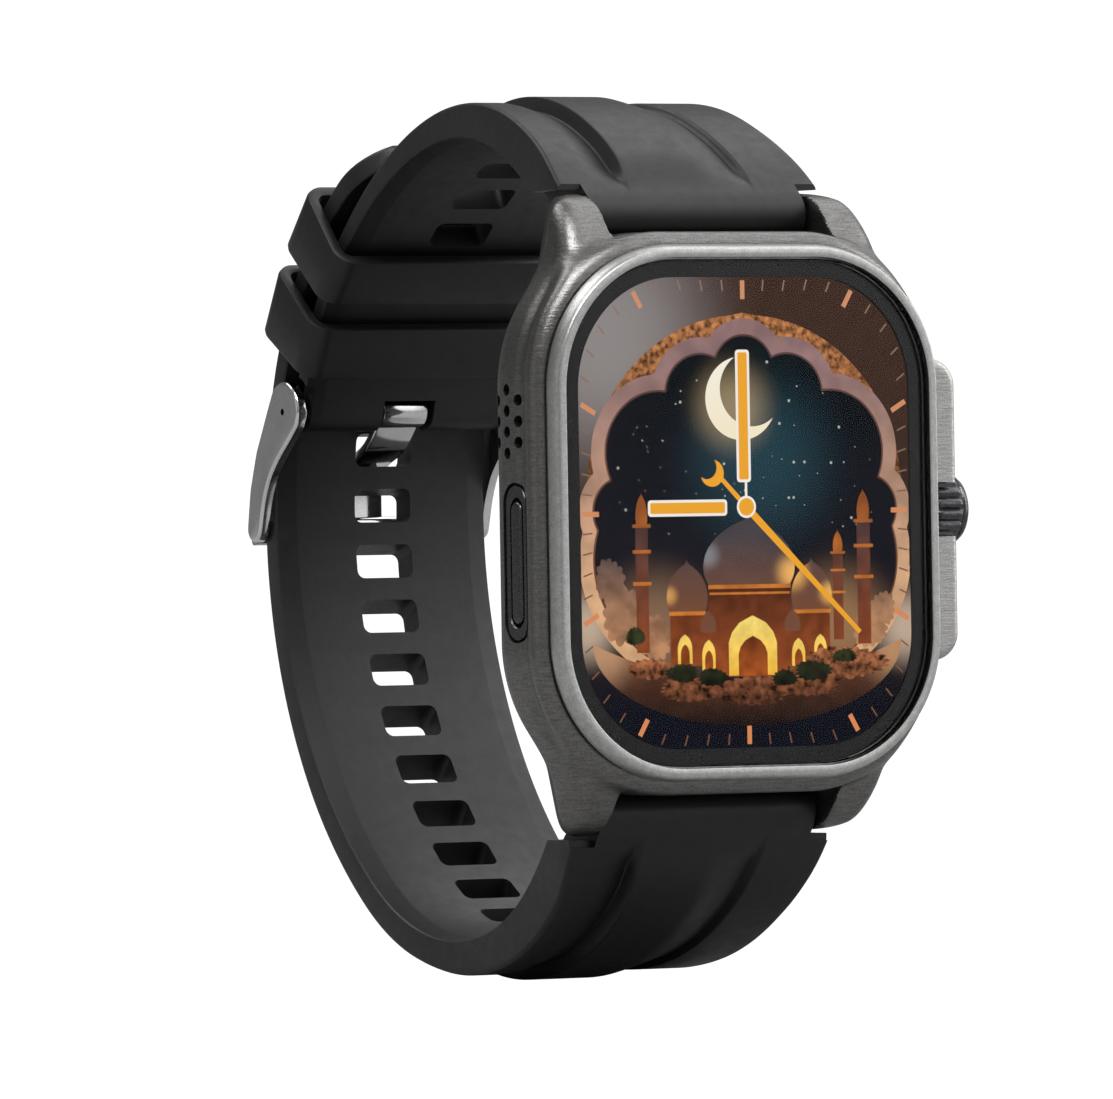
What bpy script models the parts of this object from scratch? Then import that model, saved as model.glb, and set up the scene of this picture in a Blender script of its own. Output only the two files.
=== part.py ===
"""Smartwatch with a two-piece silicone strap, buckled, as an assembly of separate solids.

Frame: metres. The origin is the centre of the cover glass's front face. The glass faces -Y and the
wrist is at +Y, +Z points to twelve o'clock, +X to the crown side. Every piece is built in place.
"""

import math

import bmesh
import bpy
from mathutils import Matrix, Vector

MM = 0.001

# Clearances
GAP = 0.3 * MM                   # between neighbouring pieces
FIT = 0.15 * MM                  # between pieces that are glued or pressed together

# Cover glass and front ring
GLASS_HALF_W, GLASS_HALF_H = 17.9 * MM, 21.55 * MM
GLASS_CORNER = 11.0 * MM
GLASS_THICK = 0.8 * MM
RING_RIM = 1.3 * MM              # ring width seen round the glass, with its bevel
RING_BEVEL = 0.43 * MM
RING_BACK = 1.55 * MM
RING_LEDGE = 0.9 * MM            # shelf under the glass edge

# Case body
CASE_HALF_W, CASE_HALF_H = 20.1 * MM, 24.0 * MM
CASE_CORNER = 13.0 * MM
CASE_FRONT, CASE_BACK = 1.85 * MM, 11.9 * MM
CASE_FRONT_ROUND, CASE_BACK_ROUND = 1.3 * MM, 2.0 * MM
CASE_WAIST = 7.45 * MM           # the sides lean in behind this depth
BACK_HALF_W, BACK_HALF_H = 17.5 * MM, 22.6 * MM
CASE_WALL = 2.2 * MM
FLANGE_FRONT, FLANGE_BACK = 10.2 * MM, 11.0 * MM

# Lugs and spring bars
LUG_GAP_HALF = 11.0 * MM         # 22 mm strap fitting
LUG_TIP_X, LUG_ROOT_X = 14.6 * MM, 16.6 * MM
LUG_TIP_Z, LUG_ROOT_Z = 27.6 * MM, 18.0 * MM
LUG_LEAN = 0.45                  # how far the outer face leans in, per depth behind LUG_LEAN_Y
LUG_LEAN_Y = 7.5 * MM
LUG_FRONT = 4.15 * MM
END_FLAT_Z = 23.3 * MM           # the case ends are flat between the lugs, behind the lugs' front
BAR_Y, BAR_Z = 9.65 * MM, 25.6 * MM
BAR_RADIUS = 0.85 * MM
BAR_HALF = 10.6 * MM
TIP_RADIUS = 0.4 * MM
TIP_REACH = 12.3 * MM            # |X| of a spring bar tip's end, inside the lug

# Crown and its guard
CROWN_Y = 6.5 * MM
CROWN_RADIUS = 3.3 * MM
CROWN_INNER, CROWN_OUTER = 20.9 * MM, 24.6 * MM
CROWN_RIBS = 18
GUARD_OUTER = 22.7 * MM
GUARD_FRONT, GUARD_BACK = 3.0 * MM, 9.8 * MM
GUARD_HALF = 13.0 * MM
NOTCH_HALF = 2.35 * MM
STEM_RADIUS = 0.75 * MM
BUSH_INNER, BUSH_OUTER = 16.4 * MM, 20.3 * MM

# Side button
BUTTON_Y, BUTTON_Z = 5.6 * MM, -4.0 * MM
BUTTON_LONG, BUTTON_WIDE = 10.4 * MM, 1.7 * MM
BEZEL_LONG, BEZEL_WIDE = 13.2 * MM, 3.3 * MM

# Speaker holes
SPEAKER_Z = 8.0 * MM
SPEAKER_PITCH = 1.79 * MM
SPEAKER_COLUMNS = ((5.0 * MM, 3), (6.6 * MM, 4), (8.2 * MM, 3))   # depth and number of holes
SPEAKER_HOLE = 0.5 * MM          # radius

# Back cover
COVER_HALF_W, COVER_HALF_H = 16.0 * MM, 20.0 * MM
COVER_CORNER = 9.5 * MM
COVER_FRONT, COVER_BACK = 11.15 * MM, 12.2 * MM
DOME_RADIUS = 12.5 * MM
DOME_BACK = 12.7 * MM
WINDOW_RADIUS, WINDOW_BACK = 8.0 * MM, 12.9 * MM
SCREW_X, SCREW_Z = 12.6 * MM, 16.6 * MM

# Strap, along its wrist side: arcs as (radius, sweep in degrees) from the lug bar on
BARREL_RADIUS = 1.9 * MM
HOLE_START, HOLE_ARCS = -47.8, ((60.9, 10.2), (23.4, 74.5), (40.7, 63.4), (32.2, 55.0))
PIN_START, PIN_ARCS = -38.3, ((58.1, 10.7), (23.1, 49.8), (33.0, 52.2))
# Half width and thickness by length from the lug bar, all in millimetres
HALF_WIDTHS = ((0, 13.0), (3, 12.85), (7, 12.2), (11, 11.8), (17, 11.35), (22, 10.95), (27, 10.7))
HOLE_THICKNESS = ((0, 3.8), (3, 4.5), (7, 5.0), (10, 4.8), (15, 4.3), (21, 3.6), (30, 3.0), (52, 3.0),
                  (75, 2.6), (85, 2.4), (130, 2.3))
PIN_THICKNESS = ((0, 3.8), (3, 4.2), (7, 4.4), (12, 4.1), (17, 3.7), (22, 3.2), (30, 2.6), (36, 2.3),
                 (42, 2.1))
EAR_Z = 28.4 * MM                # the strap is full width beyond this height
SLEEVE_RADIUS = 1.8 * MM
SLOT_LONG, SLOT_WIDE, SLOT_CORNER = 2.9 * MM, 5.7 * MM, 0.7 * MM
SLOT_LEAN = 14                   # degrees by which a slot's wall leans from square
SLOT_PITCH = 5.0 * MM
HOLE_SLOTS, VENT_SLOTS = 16, 5
FIRST_HOLE, FIRST_VENT = 7.65 * MM, 19.0 * MM   # from the tip, and from the buckle bar

# Buckle
BUCKLE_BAR_RADIUS = 0.7 * MM
KNUCKLE_RADIUS, KNUCKLE_HALF = 1.5 * MM, 2.3 * MM
TANG_THICK, TANG_HALF = 0.8 * MM, 2.1 * MM
ARM_INNER, ARM_OUTER = 11.0 * MM, 11.9 * MM
ARM_HEAD, ARM_KNEE, ARM_SHIN, ARM_FOOT = 2.7 * MM, 1.65 * MM, 1.35 * MM, 1.2 * MM   # half widths
FAR_BAR_Y, FAR_BAR_Z = 66.95 * MM, -0.9 * MM

# Keepers: angles of their outer ends round the strap's last arc, and how far their inner ends lean
# back, all in degrees
KEEPER_WALL = 1.2 * MM
KEEPER_INNER_HALF = 11.0 * MM
KEEPER_OUTER_RADIUS = 41.1 * MM
KEEPERS = {"keeper_upper": (36.8, 45.6, 0.8), "keeper_lower": (24.5, 33.4, 2.0)}

COLOURS = {                      # base colour, metallic, roughness
    "gunmetal": ((0.20, 0.20, 0.20, 1), 0.9, 0.45),
    "ring_metal": ((0.42, 0.42, 0.41, 1), 0.9, 0.40),
    "steel": ((0.80, 0.80, 0.80, 1), 1.0, 0.10),
    "dark_steel": ((0.10, 0.10, 0.11, 1), 0.9, 0.30),
    "rubber": ((0.02, 0.02, 0.021, 1), 0.0, 0.60),
    "glass": ((0.01, 0.01, 0.012, 1), 0.0, 0.05),
    "screen": ((0.05, 0.04, 0.03, 1), 0.0, 0.30),
    "plastic": ((0.03, 0.03, 0.03, 1), 0.0, 0.50),
    "board": ((0.02, 0.12, 0.06, 1), 0.0, 0.50),
    "gold": ((0.80, 0.60, 0.25, 1), 1.0, 0.30),
    "foil": ((0.55, 0.55, 0.58, 1), 0.6, 0.40),
}


# ---------------------------------------------------------------- scene and helpers

def clear_scene():
    for obj in list(bpy.data.objects):
        bpy.data.objects.remove(obj, do_unlink=True)


clear_scene()
PARTS = bpy.data.collections.new("smartwatch")
CUTTERS = bpy.data.collections.new("cutters")
bpy.context.scene.collection.children.link(PARTS)
bpy.context.scene.collection.children.link(CUTTERS)


def material(name):
    """The shared Principled material of one finish."""
    found = bpy.data.materials.get(name)
    if found:
        return found
    colour, metallic, roughness = COLOURS[name]
    made = bpy.data.materials.new(name)
    made.use_nodes = True
    shader = made.node_tree.nodes["Principled BSDF"]
    shader.inputs["Base Color"].default_value = colour
    shader.inputs["Metallic"].default_value = metallic
    shader.inputs["Roughness"].default_value = roughness
    return made


def add_object(name, bm, finish=None, origin=(0, 0, 0)):
    """Turn a bmesh built in world place into an object whose origin is at `origin`.

    With a finish it is a piece of the watch; without one it is a hidden cutter or addition.
    """
    bmesh.ops.recalc_face_normals(bm, faces=bm.faces)
    bmesh.ops.translate(bm, verts=bm.verts, vec=-Vector(origin))
    mesh = bpy.data.meshes.new(name)
    bm.to_mesh(mesh)
    bm.free()
    obj = bpy.data.objects.new(name, mesh)
    obj.location = origin
    if finish:
        PARTS.objects.link(obj)
        obj.data.materials.append(material(finish))
        mesh.shade_smooth()
        mesh.set_sharp_from_angle(angle=math.radians(35))
    else:
        CUTTERS.objects.link(obj)
        obj.hide_render = True
        obj.display_type = "WIRE"
    return obj


def boolean(target, operation, *others):
    """Cut or join hidden shapes into a piece."""
    for other in others:
        modifier = target.modifiers.new(other.name, "BOOLEAN")
        modifier.operation = operation
        modifier.solver = "EXACT"
        modifier.object = other


def cut(target, *others):
    boolean(target, "DIFFERENCE", *others)


def join(target, *others):
    boolean(target, "UNION", *others)


# ---------------------------------------------------------------- basic shapes

def box(x, y, z, radius=0.0, along="Y", steps=3):
    """A box from three (low, high) pairs, its edges along one axis rounded to `radius`."""
    bm = bmesh.new()
    bmesh.ops.create_cube(bm, size=1.0)
    for vert in bm.verts:
        vert.co = Vector([low + (co + 0.5) * (high - low) for co, (low, high) in zip(vert.co, (x, y, z))])
    if radius:
        axis = "XYZ".index(along)
        edges = [e for e in bm.edges if abs(e.verts[0].co[axis] - e.verts[1].co[axis]) > 1e-9]
        bmesh.ops.bevel(bm, geom=edges, offset=radius, segments=steps, profile=0.5, affect="EDGES")
    return bm


def plate(half_w, half_h, corner, front, back, steps=5):
    """A rounded rectangle seen from the front, from depth `front` to `back`."""
    return box((-half_w, half_w), (front, back), (-half_h, half_h), corner, "Y", steps)


def round_rim(bm, axis, level, amount, steps=2):
    """Round the edges that lie in the plane where coordinate `axis` equals `level`."""
    i = "XYZ".index(axis)
    edges = [e for e in bm.edges if all(abs(v.co[i] - level) < 1e-7 for v in e.verts)]
    bmesh.ops.bevel(bm, geom=edges, offset=amount, segments=steps, profile=0.5, affect="EDGES")
    return bm


def rod(axis, centre, low, high, radius, segments=16, end_radius=None):
    """A cylinder, or a cone to `end_radius`, along X or Y, through `centre` of the other two."""
    bm = bmesh.new()
    bmesh.ops.create_cone(bm, cap_ends=True, segments=segments, radius1=radius,
                          radius2=radius if end_radius is None else end_radius, depth=high - low)
    middle = (low + high) / 2
    if axis == "X":
        turn = Matrix.Rotation(math.radians(90), 4, "Y")
        place = Vector((middle, centre[0], centre[1]))
    else:
        turn = Matrix.Rotation(math.radians(-90), 4, "X")
        place = Vector((centre[0], middle, centre[1]))
    bmesh.ops.transform(bm, verts=bm.verts, matrix=Matrix.Translation(place) @ turn)
    return bm


def tube(name, finish, axis, centre, low, high, outer, inner, segments=16, origin=(0, 0, 0)):
    """A rod with a through bore."""
    obj = add_object(name, rod(axis, centre, low, high, outer, segments), finish, origin)
    bore = add_object(name + "_bore", rod(axis, centre, low - GAP, high + GAP, inner, segments))
    cut(obj, bore)
    return obj


def outline(points, low, high, bevel=0.0):
    """A closed outline of (y, z) points pulled out along X from `low` to `high`."""
    bm = bmesh.new()
    face = bm.faces.new([bm.verts.new((low, y, z)) for y, z in points])
    pulled = bmesh.ops.extrude_face_region(bm, geom=[face])["geom"]
    moved = [g for g in pulled if isinstance(g, bmesh.types.BMVert)]
    bmesh.ops.translate(bm, verts=moved, vec=(high - low, 0, 0))
    if bevel:
        round_rim(bm, "X", high, bevel)
    return bm


def frame_of(name, finish, half_w, half_h, corner, width, front, back):
    """A flat picture-frame ring of the given width."""
    obj = add_object(name, plate(half_w, half_h, corner, front, back), finish)
    opening = plate(half_w - width, half_h - width, corner - width, front - GAP, back + GAP)
    cut(obj, add_object(name + "_opening", opening))
    return obj


def bent_strip(name, finish, half_width, path, thickness):
    """A flat strip that follows (y, z) points, with Solidify giving its thickness."""
    bm = bmesh.new()
    left = [bm.verts.new((-half_width, y, z)) for y, z in path]
    right = [bm.verts.new((half_width, y, z)) for y, z in path]
    for i in range(len(path) - 1):
        bm.faces.new((left[i], left[i + 1], right[i + 1], right[i]))
    strip = add_object(name, bm, finish)
    solid = strip.modifiers.new("thickness", "SOLIDIFY")
    solid.thickness = thickness
    solid.offset = 0
    solid.use_even_offset = True
    return strip


def mirrored(bm, axis):
    """The same shape on the other side of the X or Z middle plane."""
    scale = Vector((-1, 1, 1)) if axis == "X" else Vector((1, 1, -1))
    bmesh.ops.scale(bm, verts=bm.verts, vec=scale)
    return bm


# ---------------------------------------------------------------- front: ring, glass, display

def front_assembly():
    ring_w, ring_h = GLASS_HALF_W + RING_RIM, GLASS_HALF_H + RING_RIM
    ring_bm = plate(ring_w, ring_h, GLASS_CORNER + RING_RIM, 0, RING_BACK, steps=7)
    ring = add_object("front_ring", round_rim(ring_bm, "Y", 0, RING_BEVEL, 1), "ring_metal")
    open_w, open_h = GLASS_HALF_W - RING_LEDGE, GLASS_HALF_H - RING_LEDGE
    open_corner = GLASS_CORNER - RING_LEDGE
    spigot_width = 0.6 * MM
    spigot = plate(open_w + spigot_width, open_h + spigot_width, open_corner + spigot_width,
                   RING_BACK - GAP, RING_BACK + 1.4 * MM)
    pocket = plate(GLASS_HALF_W + FIT, GLASS_HALF_H + FIT, GLASS_CORNER + FIT, -MM, RING_BACK - 0.4 * MM, 7)
    opening = plate(open_w, open_h, open_corner, -MM, 4 * MM)
    join(ring, add_object("ring_spigot", spigot))
    cut(ring, add_object("ring_pocket", pocket), add_object("ring_opening", opening))

    glass = plate(GLASS_HALF_W, GLASS_HALF_H, GLASS_CORNER, 0, GLASS_THICK, 7)
    add_object("cover_glass", round_rim(glass, "Y", 0, 0.25 * MM), "glass")
    frame_of("glass_gasket", "plastic", GLASS_HALF_W - FIT, GLASS_HALF_H - FIT, GLASS_CORNER - FIT,
             0.55 * MM, GLASS_THICK + 0.1 * MM, RING_BACK - 0.5 * MM)

    panel_w, panel_h = open_w - GAP, open_h - GAP
    panel = plate(panel_w, panel_h, open_corner - GAP, 1.0 * MM, 1.9 * MM)
    add_object("display_panel", panel, "screen")
    tray = add_object("display_frame", plate(panel_w, panel_h, open_corner - GAP, 2.15 * MM, 2.8 * MM), "foil")
    flex_notch = box((-5 * MM, 5 * MM), (2 * MM, 3 * MM), (-25 * MM, -13.5 * MM), 0.8 * MM)
    relief = box((-9 * MM, 9 * MM), (2 * MM, 3 * MM), (4 * MM, 15 * MM), 2 * MM)
    cut(tray, add_object("tray_flex_notch", flex_notch), add_object("tray_relief", relief))


def display_flex():
    """The ribbon that leaves the display's lower edge and folds back to the board."""
    half_width = 4.0 * MM
    fold_y, fold_z, fold_radius = 3.05 * MM, -18.2 * MM, 0.85 * MM
    path = [(fold_y - fold_radius, -14.5 * MM)]
    for i in range(7):
        turn = math.radians(30 * i)
        path.append((fold_y - fold_radius * math.cos(turn), fold_z - fold_radius * math.sin(turn)))
    path.append((fold_y + fold_radius, -17.6 * MM))
    bent_strip("display_flex", "gold", half_width, path, 0.12 * MM)


# ---------------------------------------------------------------- case

def lug(side, end):
    """One lug: a hook profile pulled out along X, its outer face leaning in to the tip and back."""
    profile = ((5.1, 24.9), (6.3, 26.4), (7.6, 27.4), (9.3, 27.6), (10.7, 27.0), (11.5, 25.8), (11.6, 18.0))
    front = [(LUG_FRONT, LUG_ROOT_Z), (LUG_FRONT, 23.2 * MM)]
    bm = outline(front + [(y * MM, z * MM) for y, z in profile], LUG_GAP_HALF, LUG_TIP_X)
    spread = (LUG_ROOT_X - LUG_TIP_X) / (LUG_TIP_Z - LUG_ROOT_Z)
    for vert in bm.verts:
        if vert.co.x > LUG_GAP_HALF + MM:
            vert.co.x += (LUG_TIP_Z - vert.co.z) * spread
            vert.co.x -= max(0.0, vert.co.y - LUG_LEAN_Y) * LUG_LEAN
    outer = [e for e in bm.edges if all(v.co.x > LUG_GAP_HALF + MM for v in e.verts)]
    bmesh.ops.bevel(bm, geom=outer, offset=0.9 * MM, segments=2, profile=0.5, affect="EDGES")
    if side < 0:
        mirrored(bm, "X")
    if end < 0:
        mirrored(bm, "Z")
    return bm


def mid_case():
    body = plate(CASE_HALF_W, CASE_HALF_H, CASE_CORNER, CASE_FRONT, CASE_BACK, steps=8)
    everything = list(body.verts) + list(body.edges) + list(body.faces)
    bmesh.ops.bisect_plane(body, geom=everything, plane_co=(0, CASE_WAIST, 0), plane_no=(0, 1, 0))
    for vert in body.verts:
        if vert.co.y > CASE_BACK - GAP:
            vert.co.x *= BACK_HALF_W / CASE_HALF_W
            vert.co.z *= BACK_HALF_H / CASE_HALF_H
    round_rim(body, "Y", CASE_FRONT, CASE_FRONT_ROUND, 3)
    round_rim(body, "Y", CASE_BACK, CASE_BACK_ROUND, 3)
    case = add_object("mid_case", body, "gunmetal")
    for end in (1, -1):
        relief = rod("X", (BAR_Y, end * BAR_Z), -LUG_TIP_X, LUG_TIP_X, BARREL_RADIUS + GAP, 24)
        low, high = sorted((end * END_FLAT_Z, end * 2 * CASE_HALF_H))
        flat = box((-LUG_TIP_X, LUG_TIP_X), (LUG_FRONT, 14 * MM), (low, high))
        cut(case, add_object("strap_relief", relief), add_object("end_flat", flat))
    for side in (1, -1):
        for end in (1, -1):
            join(case, add_object(f"lug_{side}_{end}", lug(side, end)))

    guard = box((17 * MM, GUARD_OUTER), (GUARD_FRONT, GUARD_BACK), (-GUARD_HALF, GUARD_HALF), 2.4 * MM)
    join(case, add_object("crown_guard", guard))

    inner_w, inner_h = CASE_HALF_W - CASE_WALL, CASE_HALF_H - CASE_WALL
    cavity = plate(inner_w, inner_h, CASE_CORNER - CASE_WALL, -MM, FLANGE_FRONT, steps=6)
    seat = plate(COVER_HALF_W + GAP, COVER_HALF_H + GAP, COVER_CORNER + GAP, FLANGE_BACK, 14 * MM, steps=6)
    back_opening = plate(12.6 * MM, 16.5 * MM, 6 * MM, 8 * MM, 14 * MM)
    cut(case, add_object("case_cavity", cavity), add_object("cover_seat", seat),
        add_object("case_back_opening", back_opening))
    for x, z in screw_places():
        join(case, add_object("screw_boss", rod("Y", (x, z), 9.0 * MM, FLANGE_BACK - 0.2 * MM, 1.6 * MM, 12)))
        cut(case, add_object("screw_pilot", rod("Y", (x, z), 8.5 * MM, 13 * MM, 0.8 * MM, 10)))

    crown_centre = (CROWN_Y, 0)
    pocket = rod("X", crown_centre, CASE_HALF_W + 0.3 * MM, 25 * MM, CROWN_RADIUS + 0.5 * MM, 24)
    notch = box((CASE_HALF_W + 0.3 * MM, 25 * MM), (0, CROWN_Y), (-NOTCH_HALF, NOTCH_HALF))
    bush_bore = rod("X", crown_centre, 15 * MM, 25 * MM, 2.1 * MM)
    cut(case, add_object("crown_pocket", pocket), add_object("crown_notch", notch),
        add_object("bush_bore", bush_bore))

    face = -CASE_HALF_W
    recess = stadium(BEZEL_LONG + 0.4 * MM, BEZEL_WIDE + 0.4 * MM, face - MM, face + 0.9 * MM)
    slot = stadium(BUTTON_LONG + 0.6 * MM, BUTTON_WIDE + 0.6 * MM, face, face + 1.2 * MM)
    stem_hole = rod("X", (BUTTON_Y, BUTTON_Z), face, face + 4 * MM, 0.85 * MM, 12)
    cut(case, add_object("bezel_recess", recess), add_object("button_slot", slot),
        add_object("button_stem_hole", stem_hole))

    for depth, count in SPEAKER_COLUMNS:
        for i in range(count):
            height = SPEAKER_Z + (i - (count - 1) / 2) * SPEAKER_PITCH
            hole = rod("X", (depth, height), face - MM, face + 3 * MM, SPEAKER_HOLE, 8)
            cut(case, add_object("speaker_hole", hole))
    for side in (1, -1):
        for end in (1, -1):
            low, high = sorted((side * (LUG_GAP_HALF - MM), side * (TIP_REACH + GAP)))
            cut(case, add_object("bar_hole", rod("X", (BAR_Y, end * BAR_Z), low, high, 0.7 * MM, 12)))


def stadium(length, width, low, high):
    """A bar with round ends that stands along Z on the button's side of the case."""
    y, z = BUTTON_Y, BUTTON_Z
    return box((low, high), (y - width / 2, y + width / 2), (z - length / 2, z + length / 2),
               width * 0.499, "X", steps=4)


def screw_places():
    return [(sx * SCREW_X, sz * SCREW_Z) for sx in (1, -1) for sz in (1, -1)]


# ---------------------------------------------------------------- back

def back_assembly():
    cover = plate(COVER_HALF_W, COVER_HALF_H, COVER_CORNER, COVER_FRONT, COVER_BACK, steps=6)
    back = add_object("back_cover", round_rim(cover, "Y", COVER_BACK, 0.4 * MM), "gunmetal")
    spigot = plate(11.3 * MM, 15.2 * MM, 5 * MM, 10.4 * MM, COVER_FRONT + 0.5 * MM)
    dome = rod("Y", (0, 0), COVER_BACK - 0.5 * MM, DOME_BACK, DOME_RADIUS + 0.9 * MM, 40, DOME_RADIUS)
    join(back, add_object("cover_spigot", spigot), add_object("cover_dome", dome))
    window_seat = rod("Y", (0, 0), 12.0 * MM, 14 * MM, WINDOW_RADIUS + FIT, 32)
    sensor_hole = rod("Y", (0, 0), 9 * MM, 14 * MM, 6.6 * MM, 24)
    cut(back, add_object("window_seat", window_seat), add_object("sensor_hole", sensor_hole))
    for x, z in screw_places():
        cut(back, add_object("screw_clearance", rod("Y", (x, z), 10 * MM, 14 * MM, 0.8 * MM, 10)))
        cut(back, add_object("screw_head_seat", rod("Y", (x, z), 11.6 * MM, 14 * MM, 1.25 * MM, 14)))

    window = rod("Y", (0, 0), 12.15 * MM, WINDOW_BACK, WINDOW_RADIUS, 32)
    add_object("sensor_window", round_rim(window, "Y", WINDOW_BACK, 0.3 * MM), "glass")
    add_object("sensor_board", rod("Y", (0, 0), 10.6 * MM, 11.5 * MM, 6.2 * MM, 24), "board")
    frame_of("back_gasket", "rubber", 12.4 * MM, 16.3 * MM, 5.9 * MM, 0.8 * MM, 10.3 * MM, 10.9 * MM)

    for i, (x, z) in enumerate(screw_places(), start=1):
        screw = add_object(f"case_screw_{i}", rod("Y", (x, z), 9.5 * MM, 11.8 * MM, 0.5 * MM, 10), "dark_steel")
        head = rod("Y", (x, z), 11.7 * MM, 12.15 * MM, 1.0 * MM, 14)
        driver = rod("Y", (x, z), 11.95 * MM, 13 * MM, 0.45 * MM, 6)
        join(screw, add_object("screw_head", head))
        cut(screw, add_object("screw_drive", driver))
    for name, x in (("charge_contact_left", -1.5 * MM), ("charge_contact_right", 1.5 * MM)):
        centre = (x, -14.0 * MM)
        contact = rod("Y", centre, 10.2 * MM, COVER_BACK + 0.15 * MM, 0.7 * MM, 14)
        add_object(name, contact, "gold")
        cut(back, add_object("contact_hole", rod("Y", centre, 9 * MM, 14 * MM, 0.95 * MM, 14)))


# ---------------------------------------------------------------- inside

def internals():
    battery = box((-12.3 * MM, 12.3 * MM), (3.6 * MM, 8.5 * MM), (-16.9 * MM, 2.6 * MM), 1.2 * MM, "Z")
    add_object("battery", battery, "foil")
    board = add_object("main_board", box((-14 * MM, 14 * MM), (4.6 * MM, 5.3 * MM), (3.3 * MM, 17 * MM), 3 * MM),
                       "board")
    cut(board, add_object("board_relief", box((10 * MM, 20 * MM), (4 * MM, 6 * MM), (2 * MM, 5 * MM))))
    can = add_object("shield_can", box((-10 * MM, 3.5 * MM), (5.5 * MM, 7.2 * MM), (6 * MM, 15.5 * MM),
                                       0.8 * MM), "steel")
    can_inside = box((-9.7 * MM, 3.2 * MM), (5 * MM, 6.9 * MM), (6.3 * MM, 15.2 * MM), 0.5 * MM)
    cut(can, add_object("can_inside", can_inside))
    motor = rod("Y", (9.0 * MM, 11 * MM), 5.55 * MM, 8.2 * MM, 4.0 * MM, 24)
    add_object("vibration_motor", round_rim(motor, "Y", 8.2 * MM, 0.3 * MM, 1), "steel")
    speaker = box((-17.3 * MM, -14.4 * MM), (3.7 * MM, 9.5 * MM), (4.1 * MM, 11.9 * MM), 0.6 * MM, "X")
    add_object("speaker_module", speaker, "plastic")
    mesh = box((-17.75 * MM, -17.5 * MM), (3.9 * MM, 9.3 * MM), (4.3 * MM, 11.7 * MM), 0.6 * MM, "X")
    add_object("speaker_mesh", mesh, "dark_steel")
    crown_switch = box((12.7 * MM, 14.2 * MM), (4.9 * MM, 8.1 * MM), (-2.2 * MM, 2.2 * MM), 0.5 * MM, "X")
    add_object("crown_switch", crown_switch, "plastic")
    button_switch = box((-16.4 * MM, -14.9 * MM), (BUTTON_Y - 1.5 * MM, BUTTON_Y + 1.5 * MM),
                        (BUTTON_Z - 2 * MM, BUTTON_Z + 2 * MM), 0.5 * MM, "X")
    add_object("button_switch", button_switch, "plastic")


# ---------------------------------------------------------------- crown and button

def crown_assembly():
    centre = (CROWN_Y, 0)
    origin = (CROWN_INNER, CROWN_Y, 0)
    rim_outer = CROWN_OUTER - 1.1 * MM
    knob_bm = rod("X", centre, CROWN_INNER, rim_outer, CROWN_RADIUS, CROWN_RIBS * 4)
    for vert in knob_bm.verts:
        across = Vector((0, vert.co.y - CROWN_Y, vert.co.z))
        step = round(math.atan2(across.z, across.y) / math.tau * CROWN_RIBS * 4)
        if step % 4 == 0:
            vert.co -= across.normalized() * 0.25 * MM
    knob = add_object("crown_knob", knob_bm, "dark_steel", origin)
    dome = rod("X", centre, rim_outer - GAP, CROWN_OUTER, CROWN_RADIUS - 0.25 * MM, 36, 2.3 * MM)
    join(knob, add_object("crown_dome", round_rim(dome, "X", CROWN_OUTER, 0.5 * MM)))
    cut(knob, add_object("knob_bore", rod("X", centre, 20 * MM, 22.3 * MM, STEM_RADIUS + FIT)))
    add_object("crown_stem", rod("X", centre, 14.8 * MM, 22.1 * MM, STEM_RADIUS), "steel", origin)

    bush = tube("crown_bush", "steel", "X", centre, BUSH_INNER, BUSH_OUTER, 1.9 * MM, 1.05 * MM, 20)
    join(bush, add_object("bush_flange", rod("X", centre, BUSH_INNER, 17.4 * MM, 2.7 * MM, 20)))
    cut(bush, add_object("bush_bore_again", rod("X", centre, 16 * MM, 21 * MM, 1.05 * MM)))
    cut(bush, add_object("seal_groove", rod("X", centre, 19.2 * MM, 21 * MM, 1.6 * MM)))
    bpy.ops.mesh.primitive_torus_add(
        major_radius=1.2 * MM, minor_radius=0.26 * MM, major_segments=20, minor_segments=8,
        location=(19.7 * MM, CROWN_Y, 0), rotation=(0, math.radians(90), 0))
    seal = bpy.context.object
    seal.name = "crown_seal"
    seal.data.materials.append(material("rubber"))
    for collection in list(seal.users_collection):
        collection.objects.unlink(seal)
    PARTS.objects.link(seal)
    tube("crown_washer", "steel", "X", centre, 15.5 * MM, 15.9 * MM, 1.7 * MM, 1.0 * MM, 16, origin)


def button_assembly():
    face = -CASE_HALF_W
    centre = (BUTTON_Y, BUTTON_Z)
    bezel = add_object("button_bezel", stadium(BEZEL_LONG, BEZEL_WIDE, face + 0.12 * MM, face + 0.62 * MM),
                       "dark_steel")
    slot = stadium(BUTTON_LONG + 0.6 * MM, BUTTON_WIDE + 0.6 * MM, face - MM, face + 2 * MM)
    cut(bezel, add_object("bezel_slot", slot))
    origin = (face, BUTTON_Y, BUTTON_Z)
    pill = stadium(BUTTON_LONG, BUTTON_WIDE, face + 0.05 * MM, face + 0.75 * MM)
    button = add_object("side_button", round_rim(pill, "X", face + 0.05 * MM, 0.25 * MM, 1), "dark_steel", origin)
    join(button, add_object("button_stem", rod("X", centre, face + 0.5 * MM, -16.9 * MM, 0.5 * MM, 12)))
    tube("button_clip", "steel", "X", centre, -17.5 * MM, -17.2 * MM, 1.3 * MM, 0.65 * MM, 14, origin)


# ---------------------------------------------------------------- strap

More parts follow.
